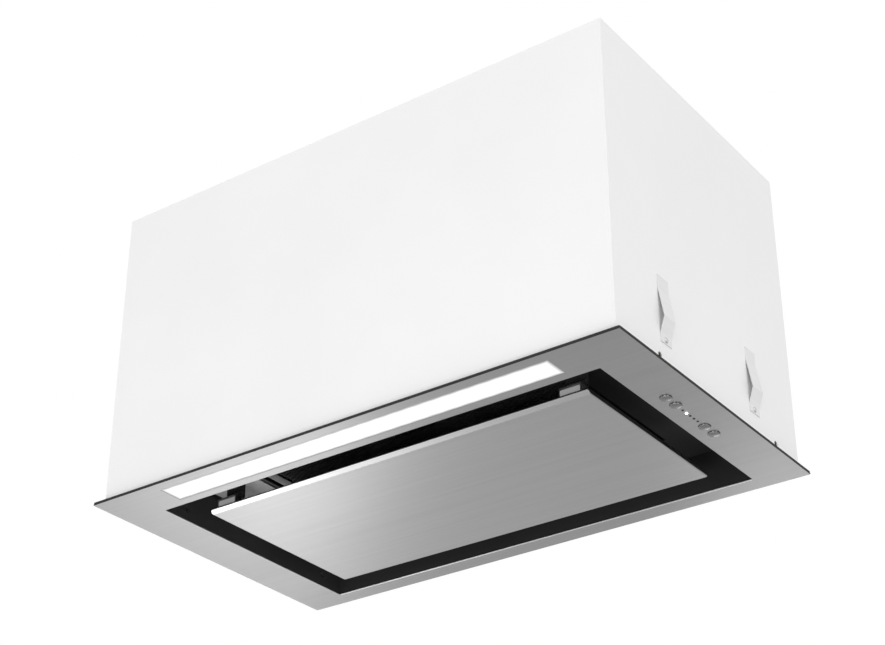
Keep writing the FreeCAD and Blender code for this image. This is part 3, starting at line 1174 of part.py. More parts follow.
def damper_flap(side, knuckles):
    half = DAMPER_SHEET / 2
    near = DAMPER_KNUCKLE_RADIUS + DAMPER_KNUCKLE_GAP
    disc = cylinder(DAMPER_RADIUS, V(0, COLLAR_Y, DAMPER_Z - half), Z_AXIS, DAMPER_SHEET)
    x0, x1 = sorted([side * near, side * COLLAR_RADIUS])
    plate = disc.common(box(x0, x1, COLLAR_Y - COLLAR_RADIUS, COLLAR_Y + COLLAR_RADIUS, DAMPER_Z - 1,
                            DAMPER_Z + 1))
    clear = DAMPER_BOSS / 2 * sqrt(2) + DAMPER_BOSS_GAP
    reach = BOSS_INNER - DAMPER_BOSS_GAP
    for y0, y1 in ((-COLLAR_RADIUS, -reach), (reach, COLLAR_RADIUS)):
        plate = plate.cut(box(-clear, clear, COLLAR_Y + y0, COLLAR_Y + y1, DAMPER_Z - 1, DAMPER_Z + 1))
    pieces = [plate]
    w0, w1 = sorted([0, side * (near + 1)])
    for y0, y1 in knuckles:
        pieces.append(cylinder(DAMPER_KNUCKLE_RADIUS, V(0, COLLAR_Y + y0, DAMPER_Z), Y_AXIS, y1 - y0))
        pieces.append(box(w0, w1, COLLAR_Y + y0, COLLAR_Y + y1, DAMPER_Z - half, DAMPER_Z + half))
    pin = cylinder(DAMPER_PIN_RADIUS + DAMPER_PIN_GAP, V(0, COLLAR_Y - COLLAR_RADIUS, DAMPER_Z), Y_AXIS,
                   2 * COLLAR_RADIUS)
    return joined(pieces).cut(pin)


def outer_knuckles():
    far = BOSS_INNER - DAMPER_KNUCKLE_END_GAP
    near = DAMPER_KNUCKLE_SPLIT / 2 + DAMPER_KNUCKLE_END_GAP
    return [(-far, -near), (near, far)]


def middle_knuckle():
    return [(-DAMPER_KNUCKLE_SPLIT / 2, DAMPER_KNUCKLE_SPLIT / 2)]


NODES = {
    "flange_plate": flange_plate(),
    "flange_seal": flange_seal(),
    "stud_nuts": stud_nuts(),
    "casing_shell": casing_shell(),
    "casing_back": casing_back(),
    "casing_top": casing_top(),
    "casing_screws": casing_screws(),
    "side_springs": side_springs(),
    "fixing_sleeves": fixing_sleeves(),
    "suction_tray": suction_tray(),
    "ceiling_plate": ceiling_plate(),
    "driver_cover": driver_cover(),
    "suction_panel": suction_panel(),
    "panel_ribs": panel_ribs(),
    "panel_catches": panel_catches(),
    "panel_hinges": panel_hinges(),
    "catch_clips": catch_clips(),
    "catch_posts": catch_posts(),
    "hinge_arms": hinge_arms(),
    "hinge_pins": hinge_pins(),
    "filter_frame": filter_frame(),
    "filter_mesh": filter_mesh(),
    "latch_base": latch_base(),
    "filter_latch": filter_latch(),
    "lamp_diffuser": lamp_diffuser(),
    "lamp_housing": lamp_housing(),
    "lamp_board": lamp_board(),
    "lamp_driver": lamp_driver(),
    "control_housing": control_housing(),
    "control_board": control_board(),
    "push_switches": push_switches(),
    "button_1": button(BUTTON_PLACES[0]),
    "button_2": button(BUTTON_PLACES[1]),
    "button_3": button(BUTTON_PLACES[2]),
    "button_4": button(BUTTON_PLACES[3]),
    "indicator_lenses": indicator_lenses(),
    "indicator_lens_lit": indicator_lens(indicator_places()[INDICATOR_LIT]),
    "scroll_left": scroll_half(-1),
    "scroll_right": scroll_half(1),
    "outlet_gasket": outlet_gasket(),
    "impeller": impeller(),
    "motor_shaft": motor_shaft(),
    "rotor_core": rotor_core(),
    "stator_core": stator_core(),
    "motor_body": motor_body(),
    "motor_end_shield": motor_end_shield(),
    "motor_bearings": motor_bearings(),
    "motor_bracket": motor_bracket(),
    "vibration_mounts": vibration_mounts(),
    "power_box": power_box(),
    "power_lid": power_lid(),
    "power_board": power_board(),
    "run_capacitor": run_capacitor(),
    "cable_gland": cable_gland(),
    "gland_nut": gland_nut(),
    "duct_collar": duct_collar(),
    "collar_screws": collar_screws(),
    "damper_pin": damper_pin(),
    "damper_flap_left": damper_flap(-1, outer_knuckles()),
    "damper_flap_right": damper_flap(1, middle_knuckle()),
}

os.makedirs("parts", exist_ok=True)
for name, shape in NODES.items():
    if not shape.isValid() or not shape.Solids:
        raise ValueError("bad shape: " + name)
    shape.exportStep("parts/" + name + ".step")
    print(name, len(shape.Solids), "solids", round(shape.Volume), "mm3")
print(len(NODES), "nodes; casing top at z", round(CASING_TOP, 2), "mm")
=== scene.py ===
# %% [markdown]
# A built-in range hood, seen from below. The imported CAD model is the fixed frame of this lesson, and
# its solids stay where they are. We set the camera, light the hood softly, give every solid a finish
# made of nodes, and add the small things that the solids leave out: the filter's mesh, screw heads,
# rivets, ribs and one rolled edge.

# %% Load the frame
from math import cos, pi, radians, sin

import bmesh
import bpy
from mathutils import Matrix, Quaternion, Vector


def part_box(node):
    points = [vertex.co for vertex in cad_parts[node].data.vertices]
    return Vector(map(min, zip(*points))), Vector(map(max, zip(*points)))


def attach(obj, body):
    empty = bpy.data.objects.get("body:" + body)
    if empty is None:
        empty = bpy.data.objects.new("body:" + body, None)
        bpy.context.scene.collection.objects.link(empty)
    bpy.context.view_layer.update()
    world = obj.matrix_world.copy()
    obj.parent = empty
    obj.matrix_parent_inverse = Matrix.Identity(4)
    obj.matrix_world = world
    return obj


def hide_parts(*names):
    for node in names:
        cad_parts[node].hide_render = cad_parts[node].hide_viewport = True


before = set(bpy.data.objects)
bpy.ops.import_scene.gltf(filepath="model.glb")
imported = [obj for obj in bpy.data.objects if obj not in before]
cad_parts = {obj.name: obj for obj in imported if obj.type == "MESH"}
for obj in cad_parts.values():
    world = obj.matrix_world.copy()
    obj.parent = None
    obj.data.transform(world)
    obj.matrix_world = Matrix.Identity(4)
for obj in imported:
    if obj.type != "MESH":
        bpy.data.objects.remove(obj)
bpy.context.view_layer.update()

scene = bpy.context.scene
scene.view_settings.view_transform = "Standard"
MM = 0.001

# %% [markdown]
# The camera comes first, because every later choice is judged through it. It stands low, in front
# and to the right of the hood, and looks up at about 30 degrees. A long lens keeps the flange's
# edges nearly parallel. There is no lens shift, so the camera can be moved round the part freely.

# %% Camera
camera_data = bpy.data.cameras.new("low_camera")
camera_data.sensor_width = 36.0
camera_data.lens = 77.7
camera_data.clip_start = 0.01
camera = bpy.data.objects.new("low_camera", camera_data)
camera.location = (0.8478, -1.1756, -0.6703)
camera.rotation_euler = (radians(119.757), 0.0, radians(35.909))
scene.collection.objects.link(camera)
scene.camera = camera
print("camera", [round(x, 3) for x in camera.location], "lens", camera_data.lens)

# %% [markdown]
# Nodes are easier to read when each is made in one line. The helper below adds a node, sets its
# properties, and for each input either links another node's output or writes a value.


# %% Node helpers
def add(tree, kind, inputs=None, **settings):
    node = tree.nodes.new(kind)
    for name, value in settings.items():
        setattr(node, name, value)
    for name, value in (inputs or {}).items():
        if isinstance(value, bpy.types.NodeSocket):
            tree.links.new(value, node.inputs[name])
        else:
            node.inputs[name].default_value = value
    return node


def math(tree, operation, a, b=0.0):
    return add(tree, "ShaderNodeMath", {0: a, 1: b}, operation=operation).outputs[0]


def grey(value):
    return (value, value, value, 1.0)


# %% [markdown]
# The stage is a plain pale floor far below the hood, with a white surround. The world is white for
# the camera and for mirror-like rays, so metal shows the same bright room, and it gives a weaker
# even light to everything else. Nothing here is part of the object.

# %% Floor and surround
FLOOR_LEVEL = -2.6
FLOOR_HALF = 14.0
FLOOR_DARK = 0.55
FLOOR_LIGHT = 0.58
WORLD_LIGHT = 0.72

floor_mesh = bpy.data.meshes.new("floor")
floor_corners = [(-FLOOR_HALF, -FLOOR_HALF), (FLOOR_HALF, -FLOOR_HALF),
                 (FLOOR_HALF, FLOOR_HALF), (-FLOOR_HALF, FLOOR_HALF)]
floor_mesh.from_pydata([(x, y, FLOOR_LEVEL) for x, y in floor_corners], [], [(0, 1, 2, 3)])
floor = bpy.data.objects.new("floor", floor_mesh)
scene.collection.objects.link(floor)
floor_paint = bpy.data.materials.new("floor_paint")
floor_paint.use_nodes = True
floor_tree = floor_paint.node_tree
floor_shader = floor_tree.nodes["Principled BSDF"]
floor_shader.inputs["Roughness"].default_value = 0.7
floor_cloud = add(floor_tree, "ShaderNodeTexNoise",
                  {"Vector": add(floor_tree, "ShaderNodeTexCoord").outputs["Object"], "Scale": 0.8})
floor_tone = add(floor_tree, "ShaderNodeValToRGB", {"Fac": floor_cloud.outputs[0]})
floor_tone.color_ramp.elements[0].color = grey(FLOOR_DARK)
floor_tone.color_ramp.elements[1].color = grey(FLOOR_LIGHT)
floor_tree.links.new(floor_tone.outputs["Color"], floor_shader.inputs["Base Color"])
floor_mesh.materials.append(floor_paint)

world = bpy.data.worlds.new("white_surround")
scene.world = world
world.use_nodes = True
sky = world.node_tree
sky_light = sky.nodes["Background"]
sky_light.inputs["Color"].default_value = grey(1.0)
ray = add(sky, "ShaderNodeLightPath")
seen = math(sky, "MAXIMUM", ray.outputs["Is Camera Ray"], ray.outputs["Is Glossy Ray"])
seen = math(sky, "MAXIMUM", seen, ray.outputs["Is Transmission Ray"])
strength = add(sky, "ShaderNodeMapRange", {"Value": seen, "To Min": WORLD_LIGHT, "To Max": 1.0})
sky.links.new(strength.outputs["Result"], sky_light.inputs["Strength"])
print("floor at", FLOOR_LEVEL, "m, world light", WORLD_LIGHT)

# %% [markdown]
# The steel faces down, so what it shows is the lower half of the room behind it. Three soft boxes
# stand there: a broad one on the left, which leans a little and makes the bright left end of the panel
# and flange, a faint one that lifts the middle, and one for the far right corner. A fourth, low on
# the left, runs a highlight along the panel's front edge. Two more, low in front and on the right,
# light what lies behind the slots, and a pair above lights the pale casing.


# %% Soft boxes
def soft_box(name, place, target, width, height, watts, spread=180.0, lean=0.0):
    data = bpy.data.lights.new(name, "AREA")
    data.shape = "RECTANGLE"
    data.size = width
    data.size_y = height
    data.energy = watts
    data.spread = radians(spread)
    lamp = bpy.data.objects.new(name, data)
    lamp.location = place
    aim = (Vector(target) - Vector(place)).to_track_quat("-Z", "Y")
    lamp.rotation_euler = (aim @ Quaternion((0, 0, 1), radians(lean))).to_euler()
    lamp.visible_camera = False
    scene.collection.objects.link(lamp)


STEEL_FACE = (0.0, 0.0, 0.0)
CASING_MIDDLE = (0.0, 0.0, 0.15)
# After its name and place, a box takes the point it looks at, its width, its height and its watts.
soft_box("low_left_box", (-1.935, 1.773, -1.454), STEEL_FACE, 0.75, 0.45, 2.35, lean=-25.0)
soft_box("low_back_box", (-1.441, 2.306, -1.268), STEEL_FACE, 0.45, 0.4, 0.1)
soft_box("low_end_box", (-0.834, 2.728, -0.927), STEEL_FACE, 0.5, 0.5, 1.5)
soft_box("low_edge_box", (-1.75, -1.05, -1.65), STEEL_FACE, 0.6, 0.6, 4.5)
soft_box("low_front_box", (0.5, -2.0, -1.75), STEEL_FACE, 1.1, 0.8, 18.0)
soft_box("low_right_box", (2.2, -0.6, -1.6), STEEL_FACE, 1.0, 1.0, 9.0)
soft_box("front_box", (0.8, -3.1, 1.3), CASING_MIDDLE, 2.2, 2.2, 4.4, spread=70.0)
soft_box("right_box", (3.2, -0.4, 1.0), CASING_MIDDLE, 2.0, 2.0, 3.3, spread=70.0)

# %% [markdown]
# Several finishes share an effect: brush lines in metal, faint smears left by wiping, the fine grain
# of moulded or coated surfaces, the flakes of a zinc coat. Each effect is one node group with named
# inputs, and each material places it with its own sizes. The groups give out masks and heights only;
# the shader stays outside.


# %% Shared finish groups
def new_group(name, inputs, outputs):
    group = bpy.data.node_groups.new(name, "ShaderNodeTree")
    group.interface.new_socket("Vector", in_out="INPUT", socket_type="NodeSocketVector")
    for title, value in inputs.items():
        socket = group.interface.new_socket(title, in_out="INPUT", socket_type="NodeSocketFloat")
        socket.default_value = value
    for title in outputs:
        group.interface.new_socket(title, in_out="OUTPUT", socket_type="NodeSocketFloat")
    return group, add(group, "NodeGroupInput"), add(group, "NodeGroupOutput")


def link_out(group, node, **values):
    for title, socket in values.items():
        group.links.new(socket, node.inputs[title])


def noise(tree, vector, scale, detail=2.0, rough=0.5):
    return add(tree, "ShaderNodeTexNoise", {"Vector": vector, "Scale": scale, "Detail": detail,
                                            "Roughness": rough}).outputs[0]


STREAK_SCALE = 0.22
COARSE_SHARE = 0.11
brush_lines, g_in, g_out = new_group("brush_lines", {"Along": 12.0, "Across": 900.0}, ["Streak", "Line"])
stretch = add(brush_lines, "ShaderNodeCombineXYZ", {"X": g_in.outputs["Along"], "Y": g_in.outputs["Across"],
                                                    "Z": g_in.outputs["Across"]})
drawn = add(brush_lines, "ShaderNodeVectorMath", {0: g_in.outputs["Vector"], 1: stretch.outputs[0]},
            operation="MULTIPLY").outputs[0]
link_out(brush_lines, g_out, Streak=noise(brush_lines, drawn, STREAK_SCALE, 3.0),
         Line=noise(brush_lines, drawn, 1.0))

wiped, g_in, g_out = new_group("wiped_smears", {"Size": 9.0}, ["Smear"])
smear = noise(wiped, g_in.outputs["Vector"], g_in.outputs["Size"], 3.0, 0.55)
smear = add(wiped, "ShaderNodeMapRange", {"Value": smear, "From Min": 0.3, "From Max": 0.7})
link_out(wiped, g_out, Smear=smear.outputs["Result"])

fine_grain, g_in, g_out = new_group("fine_grain", {"Size": 1500.0}, ["Height", "Speck"])
bumps = noise(fine_grain, g_in.outputs["Vector"], g_in.outputs["Size"])
coarse_size = math(fine_grain, "MULTIPLY", g_in.outputs["Size"], COARSE_SHARE)
coarse = noise(fine_grain, g_in.outputs["Vector"], coarse_size)
link_out(fine_grain, g_out, Height=bumps, Speck=math(fine_grain, "MULTIPLY", bumps, coarse))

spangle, g_in, g_out = new_group("zinc_spangle", {"Size": 160.0}, ["Flake"])
cells = add(spangle, "ShaderNodeTexVoronoi", {"Vector": g_in.outputs["Vector"],
                                              "Scale": g_in.outputs["Size"]})
flake = add(spangle, "ShaderNodeSeparateColor", {"Color": cells.outputs["Color"]})
link_out(spangle, g_out, Flake=flake.outputs[0])
print("finish groups", [g.name for g in bpy.data.node_groups])

# %% [markdown]
# Every finish below is a Principled shader. A mask from a shared group mixes two close tones for the
# colour, stretches between two roughness values, and drives a Bump node. A noise mask seldom leaves
# the middle half of its range, so that half is stretched over the two values. Object coordinates are
# in metres, so a size of 1000 means details of about a millimetre.


# %% Finish helpers
MASK_LOW = 0.25
MASK_HIGH = 0.75


def new_finish(name, **values):
    material = bpy.data.materials.new(name)
    material.use_nodes = True
    shader = material.node_tree.nodes["Principled BSDF"]
    for title, value in values.items():
        shader.inputs[title.replace("_", " ")].default_value = value
    return material, material.node_tree, shader


def object_vector(tree, turn=0.0, shift=(0, 0, 0)):
    place = add(tree, "ShaderNodeTexCoord").outputs["Object"]
    moved_place = add(tree, "ShaderNodeMapping", {"Vector": place, "Location": shift,
                                                  "Rotation": (0, 0, turn)})
    return moved_place.outputs[0]


def effect(tree, group, vector, **sizes):
    node = add(tree, "ShaderNodeGroup", node_tree=group)
    tree.links.new(vector, node.inputs["Vector"])
    for title, value in sizes.items():
        node.inputs[title].default_value = value
    return node.outputs


def tones(tree, shader, mask, dark, light):
    ramp = add(tree, "ShaderNodeValToRGB", {"Fac": mask})
    ramp.color_ramp.elements[0].position = MASK_LOW
    ramp.color_ramp.elements[0].color = dark
    ramp.color_ramp.elements[1].position = MASK_HIGH
    ramp.color_ramp.elements[1].color = light
    tree.links.new(ramp.outputs["Color"], shader.inputs["Base Color"])


def polish(tree, shader, mask, low, high):
    node = add(tree, "ShaderNodeMapRange", {"Value": mask, "From Min": MASK_LOW, "From Max": MASK_HIGH,
                                            "To Min": low, "To Max": high})
    tree.links.new(node.outputs["Result"], shader.inputs["Roughness"])


def relief(tree, shader, height, depth):
    node = add(tree, "ShaderNodeBump", {"Height": height, "Distance": depth, "Strength": 1.0})
    tree.links.new(node.outputs["Normal"], shader.inputs["Normal"])


def average(tree, a, b):
    return math(tree, "MULTIPLY", math(tree, "ADD", a, b), 0.5)


# %% [markdown]
# Brushed stainless steel is the hood's face. Long fine lines run in one direction. They are a noise
# stretched along it, seen mostly in the colour, with a trace of it in the bump, and streaks and wiping
# smears change the gloss a little. The renderer's noise filter takes metal with a roughness below
# about 0.27 for a mirror, so the roughness of each sheet stays wholly above that level. On the flange,
# a mask that grows near the plate's outer sides makes its rim dull, as a sheared edge is, and near
# black, which is painted shade: a dark shadow line along the flange's edge. Zinc-coated steel shows
# faint flakes in place of lines.


# %% Metal finishes
HAIRLINE = 0.0008 * MM
# The rim tone below is near black: painted shade along the flange's edge.
RIM_SHADE_TONE = 0.05
RIM_DULLING = 0.35


def brushed_metal(name, dark, light, low, high, along=12.0, across=900.0, turn=0.0, depth=0.02 * MM):
    material, tree, shader = new_finish(name, Metallic=1.0)
    vector = object_vector(tree, turn)
    lines = effect(tree, brush_lines, vector, Along=along, Across=across)
    smears = effect(tree, wiped, vector, Size=9.0)
    tones(tree, shader, average(tree, lines["Streak"], lines["Line"]), grey(dark), grey(light))
    polish(tree, shader, average(tree, lines["Streak"], smears["Smear"]), low, high)
    relief(tree, shader, lines["Line"], depth)
    return material


def plate_with_painted_rim_shade(name, dark, light, low, high, box, rim):
    material = brushed_metal(name, dark, light, low, high, depth=HAIRLINE)
    tree = material.node_tree
    shader = tree.nodes["Principled BSDF"]
    middle = (box[0] + box[1]) / 2
    half = (box[1] - box[0]) / 2
    spot = add(tree, "ShaderNodeSeparateXYZ", {"Vector": object_vector(tree, 0.0, -middle)})
    past_x = math(tree, "SUBTRACT", math(tree, "ABSOLUTE", spot.outputs["X"]), half.x)
    past_y = math(tree, "SUBTRACT", math(tree, "ABSOLUTE", spot.outputs["Y"]), half.y)
    past = math(tree, "MAXIMUM", past_x, past_y)
    # The rim mask turns the colour near black, a painted shade line, and raises the roughness for the dull cut
    # edge.
    edge = add(tree, "ShaderNodeMapRange", {"Value": past, "From Min": -rim, "From Max": -rim / 2})
    edge = edge.outputs["Result"]
    face = shader.inputs["Base Color"].links[0].from_socket
    # A Mix node keeps its two colours in inputs 6 and 7, and the mixed colour in output 2.
    mixed = add(tree, "ShaderNodeMix", {0: edge, 6: face, 7: grey(RIM_SHADE_TONE)}, data_type="RGBA")
    tree.links.new(mixed.outputs[2], shader.inputs["Base Color"])
    gloss = shader.inputs["Roughness"].links[0].from_socket
    dull = math(tree, "ADD", gloss, math(tree, "MULTIPLY", edge, RIM_DULLING))
    tree.links.new(dull, shader.inputs["Roughness"])
    return material


def galvanised_metal(name, dark, light, low, high, size, metallic=0.9):
    material, tree, shader = new_finish(name, Metallic=metallic)
    vector = object_vector(tree)
    flakes = effect(tree, spangle, vector, Size=size)
    grain = effect(tree, fine_grain, vector, Size=1200.0)
    tones(tree, shader, flakes["Flake"], grey(dark), grey(light))
    polish(tree, shader, average(tree, flakes["Flake"], grain["Speck"]), low, high)
    relief(tree, shader, grain["Height"], 0.02 * MM)
    return material


# After its name, a finish takes its dark and light tone, then its lowest and highest roughness.
finishes = {
    "brushed_stainless": brushed_metal("brushed_panel", 0.51, 0.58, 0.277, 0.295, depth=HAIRLINE),
    "spring_steel": brushed_metal("spring_strip", 0.70, 0.78, 0.30, 0.42, along=30.0, across=1400.0,
                                  turn=pi / 2),
    # The filter's aluminium is given a dark grey in place of bare metal: painted shade of the deep chamber.
    "filter_aluminium": brushed_metal("filter_frame_painted_shade", 0.20, 0.25, 0.35, 0.50, along=25.0),
    "lamp_aluminium": brushed_metal("lamp_extrusion", 0.66, 0.72, 0.35, 0.45, along=6.0, across=1500.0),
    "bare_sheet": galvanised_metal("galvanised_sheet", 0.74, 0.83, 0.42, 0.56, 190.0, metallic=0.35),
    "zinc_steel": galvanised_metal("zinc_plating", 0.50, 0.60, 0.28, 0.42, 900.0),
    "motor_cover": galvanised_metal("cast_motor_cover", 0.40, 0.48, 0.45, 0.60, 500.0),
}
print("metals", sorted(finishes))

# %% [markdown]
# Coated and moulded surfaces have no lines. A powder coat has a faint orange peel, a moulded plastic
# has a fine matt grain, and foam rubber has open pores. The same grain group serves them all; the
# last two numbers of each finish are the grain's size and its depth.


# %% Coated, moulded and rubber finishes
def grained(name, dark, light, low, high, size, depth):
    material, tree, shader = new_finish(name)
    vector = object_vector(tree)
    grain = effect(tree, fine_grain, vector, Size=size)
    smears = effect(tree, wiped, vector, Size=7.0)
    tones(tree, shader, average(tree, grain["Height"], smears["Smear"]), grey(dark), grey(light))
    polish(tree, shader, average(tree, smears["Smear"], grain["Speck"]), low, high)
    relief(tree, shader, grain["Height"], depth)
    return material


finishes.update({
    "pale_sheet": grained("pale_coating", 0.88, 0.91, 0.42, 0.55, 700.0, 0.03 * MM),
    "black_sheet": grained("black_coating", 0.026, 0.034, 0.48, 0.54, 900.0, 0.03 * MM),
    "black_plastic": grained("black_moulding", 0.018, 0.026, 0.42, 0.55, 1800.0, 0.04 * MM),
    "grey_plastic": grained("grey_moulding", 0.68, 0.74, 0.42, 0.56, 1800.0, 0.04 * MM),
    "dark_plastic": grained("glass_filled_moulding", 0.030, 0.048, 0.46, 0.62, 1300.0, 0.05 * MM),
    "white_plastic": grained("white_moulding", 0.72, 0.78, 0.38, 0.50, 1800.0, 0.03 * MM),
    "black_rubber": grained("foam_rubber", 0.008, 0.020, 0.75, 0.92, 1100.0, 0.15 * MM),
    "clear_lens": grained("smoked_lens", 0.035, 0.050, 0.12, 0.20, 600.0, 0.01 * MM),
})
print("finishes", len(finishes))

# %% [markdown]
# Three finishes have patterns of their own. The buttons are turned on a lathe, so their lines run
# in rings about each button's own centre; the crown of a button is in its solid, not in the bump.
# The circuit boards carry rows of copper tracks under green lacquer, and the motor's iron is a stack
# of thin laminations.


# %% Turned caps, circuit boards and laminated iron
def turned_cap(name, centre):
    material, tree, shader = new_finish(name, Metallic=1.0)
    vector = object_vector(tree, 0.0, [-c for c in centre])
    rings = add(tree, "ShaderNodeTexWave", {"Vector": vector, "Scale": 500.0, "Distortion": 1.5,
                                            "Detail": 2.0}, wave_type="RINGS", rings_direction="Z")
    smears = effect(tree, wiped, vector, Size=300.0)
    tones(tree, shader, rings.outputs["Fac"], grey(0.30), grey(0.34))
    polish(tree, shader, smears["Smear"], 0.20, 0.26)
    relief(tree, shader, rings.outputs["Fac"], 0.001 * MM)
    return material


def circuit_board(name):
    material, tree, shader = new_finish(name)
    vector = object_vector(tree)
    tracks = add(tree, "ShaderNodeTexBrick", {
        "Vector": vector, "Scale": 90.0, "Mortar Size": 0.06, "Mortar": (0.045, 0.160, 0.060, 1),
        "Color1": (0.012, 0.075, 0.030, 1), "Color2": (0.016, 0.090, 0.036, 1)})
    tree.links.new(tracks.outputs["Color"], shader.inputs["Base Color"])
    grain = effect(tree, fine_grain, vector, Size=1500.0)
    polish(tree, shader, grain["Speck"], 0.28, 0.40)
    relief(tree, shader, tracks.outputs["Fac"], 0.05 * MM)
    return material


def laminated_iron(name):
    material, tree, shader = new_finish(name, Metallic=0.7)
    vector = object_vector(tree)
    sheets = add(tree, "ShaderNodeTexWave", {"Vector": vector, "Scale": 320.0, "Distortion": 0.3},
                 wave_type="BANDS", bands_direction="X")
    grain = effect(tree, fine_grain, vector, Size=900.0)
    tones(tree, shader, average(tree, sheets.outputs["Fac"], grain["Speck"]), grey(0.10), grey(0.17))
    polish(tree, shader, grain["Speck"], 0.45, 0.62)
    relief(tree, shader, sheets.outputs["Fac"], 0.1 * MM)
    return material


finishes["button_steel"] = turned_cap("turned_button", (0, 0, 0))
finishes["circuit_green"] = circuit_board("green_circuit_board")
finishes["motor_iron"] = laminated_iron("laminated_iron")
print("finishes with the patterned ones", len(finishes))

# %% [markdown]
# The lamp is a row of diodes behind an opal sheet, so it glows almost evenly, a touch brighter over
# each diode. Along its rim is a band in which the glow eases down. The lit indicator is the same idea
# in one small dot. Both put their pattern in the emission colour and leave the strength as a plain
# number.


# %% Glowing finishes
DIODES = 24
DIODE_RIPPLE = 0.02
RIM_GLOW = 0.18
LAMP_STRENGTH = 1.15
LAMP_BAND = 9.0 * MM
DOT_STRENGTH = 6.0
DOT_BAND = 0.5 * MM


def glowing(name, strength, low, high, count, band):
    material, tree, shader = new_finish(name, Emission_Strength=strength)
    size = high - low
    vector = object_vector(tree, 0.0, -(low + high) / 2)
    parts = add(tree, "ShaderNodeSeparateXYZ", {"Vector": vector})
    spot = math(tree, "COSINE", math(tree, "MULTIPLY", parts.outputs["X"], 2 * pi * count / size.x))
    from_end = math(tree, "SUBTRACT", size.x / 2, math(tree, "ABSOLUTE", parts.outputs["X"]))
    from_side = math(tree, "SUBTRACT", size.y / 2, math(tree, "ABSOLUTE", parts.outputs["Y"]))
    inward = math(tree, "DIVIDE", math(tree, "MINIMUM", from_end, from_side), band)
    glow = math(tree, "ADD", inward, math(tree, "MULTIPLY", spot, DIODE_RIPPLE))
    ramp = add(tree, "ShaderNodeValToRGB", {"Fac": glow})
    ramp.color_ramp.interpolation = "EASE"
    ramp.color_ramp.elements[0].color = grey(RIM_GLOW)
    ramp.color_ramp.elements[1].color = grey(1.0)
    tree.links.new(ramp.outputs["Color"], shader.inputs["Emission Color"])
    tree.links.new(ramp.outputs["Color"], shader.inputs["Base Color"])
    grain = effect(tree, fine_grain, vector, Size=900.0)
    polish(tree, shader, grain["Speck"], 0.30, 0.42)
    return material


lamp_low, lamp_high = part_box("lamp_diffuser")
lit_low, lit_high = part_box("indicator_lens_lit")
finishes["opal_diffuser"] = glowing("opal_sheet", LAMP_STRENGTH, lamp_low, lamp_high, DIODES, LAMP_BAND)
finishes["lit_lens"] = glowing("lit_dot", DOT_STRENGTH, lit_low, lit_high, 1, DOT_BAND)
print("lamp from", [round(x, 4) for x in lamp_low], "to", [round(x, 4) for x in lamp_high])

# %% [markdown]
# Each CAD solid carries the name of its material slot. A loop puts the finish of that name into the
# slot. The flange then gets its brushed finish with painted shade along its rim, and the four
# buttons get a turned finish each, centred on the button.

# %% Dress the CAD solids
# Width of the flange's rim that is dulled and darkened with painted shade.
SHADED_RIM_WIDTH = 0.45 * MM
BUTTONS = 4
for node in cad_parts.values():
    for slot in node.material_slots:
        slot.material = finishes[slot.material.name]
flange_steel = plate_with_painted_rim_shade("brushed_flange", 0.445, 0.505, 0.28, 0.31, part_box("flange_plate"), SHADED_RIM_WIDTH)
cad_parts["flange_plate"].material_slots[0].material = flange_steel
for number in range(1, BUTTONS + 1):
    low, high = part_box("button_%d" % number)
    cap = turned_cap("turned_button_%d" % number, (low + high) / 2)
    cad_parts["button_%d" % number].material_slots[0].material = cap
print("dressed", len(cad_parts), "solids")

# %% [markdown]
# Whatever repeats on the hood is grown with Geometry Nodes: screws, rivets, lens domes, ribs and the
# strands of the grease filter. One helper starts a tree with named inputs, one closes it, and one
# puts it on a host of plain points, sets the inputs by their identifiers, evaluates it once and keeps
# the result as a plain mesh.


# %% Geometry Nodes helpers
CREASE_ANGLE = radians(35)


def new_tree(name, inputs):
    kinds = {float: "NodeSocketFloat", tuple: "NodeSocketVector"}
    tree = bpy.data.node_groups.new(name, "GeometryNodeTree")
    tree.interface.new_socket("Geometry", in_out="OUTPUT", socket_type="NodeSocketGeometry")
    tree.interface.new_socket("Points", in_out="INPUT", socket_type="NodeSocketGeometry")
    tree.interface.new_socket("Finish", in_out="INPUT", socket_type="NodeSocketMaterial")
    for title, value in inputs.items():
        socket = tree.interface.new_socket(title, in_out="INPUT", socket_type=kinds[type(value)])
        socket.default_value = value
    return tree, add(tree, "NodeGroupInput").outputs


def close_tree(tree, geometry, finish):
    solid = add(tree, "GeometryNodeRealizeInstances", {"Geometry": geometry})
    dressed = add(tree, "GeometryNodeSetMaterial", {"Geometry": solid.outputs[0], "Material": finish})
    add(tree, "NodeGroupOutput", {"Geometry": dressed.outputs[0]})


def grow(name, tree, places, finish, values, body):
    piece = bpy.data.objects.new(name, bpy.data.meshes.new(name + "_places"))
    piece.data.from_pydata(places, [], [])
    scene.collection.objects.link(piece)
    modifier = piece.modifiers.new("grow", "NODES")
    modifier.node_group = tree
    for item in tree.interface.items_tree:
        if item.in_out == "INPUT" and item.name in values:
            modifier[item.identifier] = values[item.name]
        if item.in_out == "INPUT" and item.name == "Finish":
            modifier[item.identifier] = finish
    view = bpy.context.evaluated_depsgraph_get()
    grown = bpy.data.meshes.new_from_object(piece.evaluated_get(view), depsgraph=view)
    piece.modifiers.remove(modifier)
    piece.data = grown
    grown.shade_smooth()
    grown.set_sharp_from_angle(angle=CREASE_ANGLE)
    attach(piece, body)
    print(name, "on", body, "with", len(places), "places and", len(grown.polygons), "faces")
    return piece


# %% [markdown]
# A turned shape is a straight line along Z, swept by a circle whose radius follows a profile. The
# profile is a short list of (height, radius) shares, held in two Float Curve nodes, so one helper
# turns a screw head, a ringed shank, a rivet, a lens and a rib. A second helper finds the separate
# solids in a CAD node and gives the box of each, so that a grown piece can stand where the solid is.


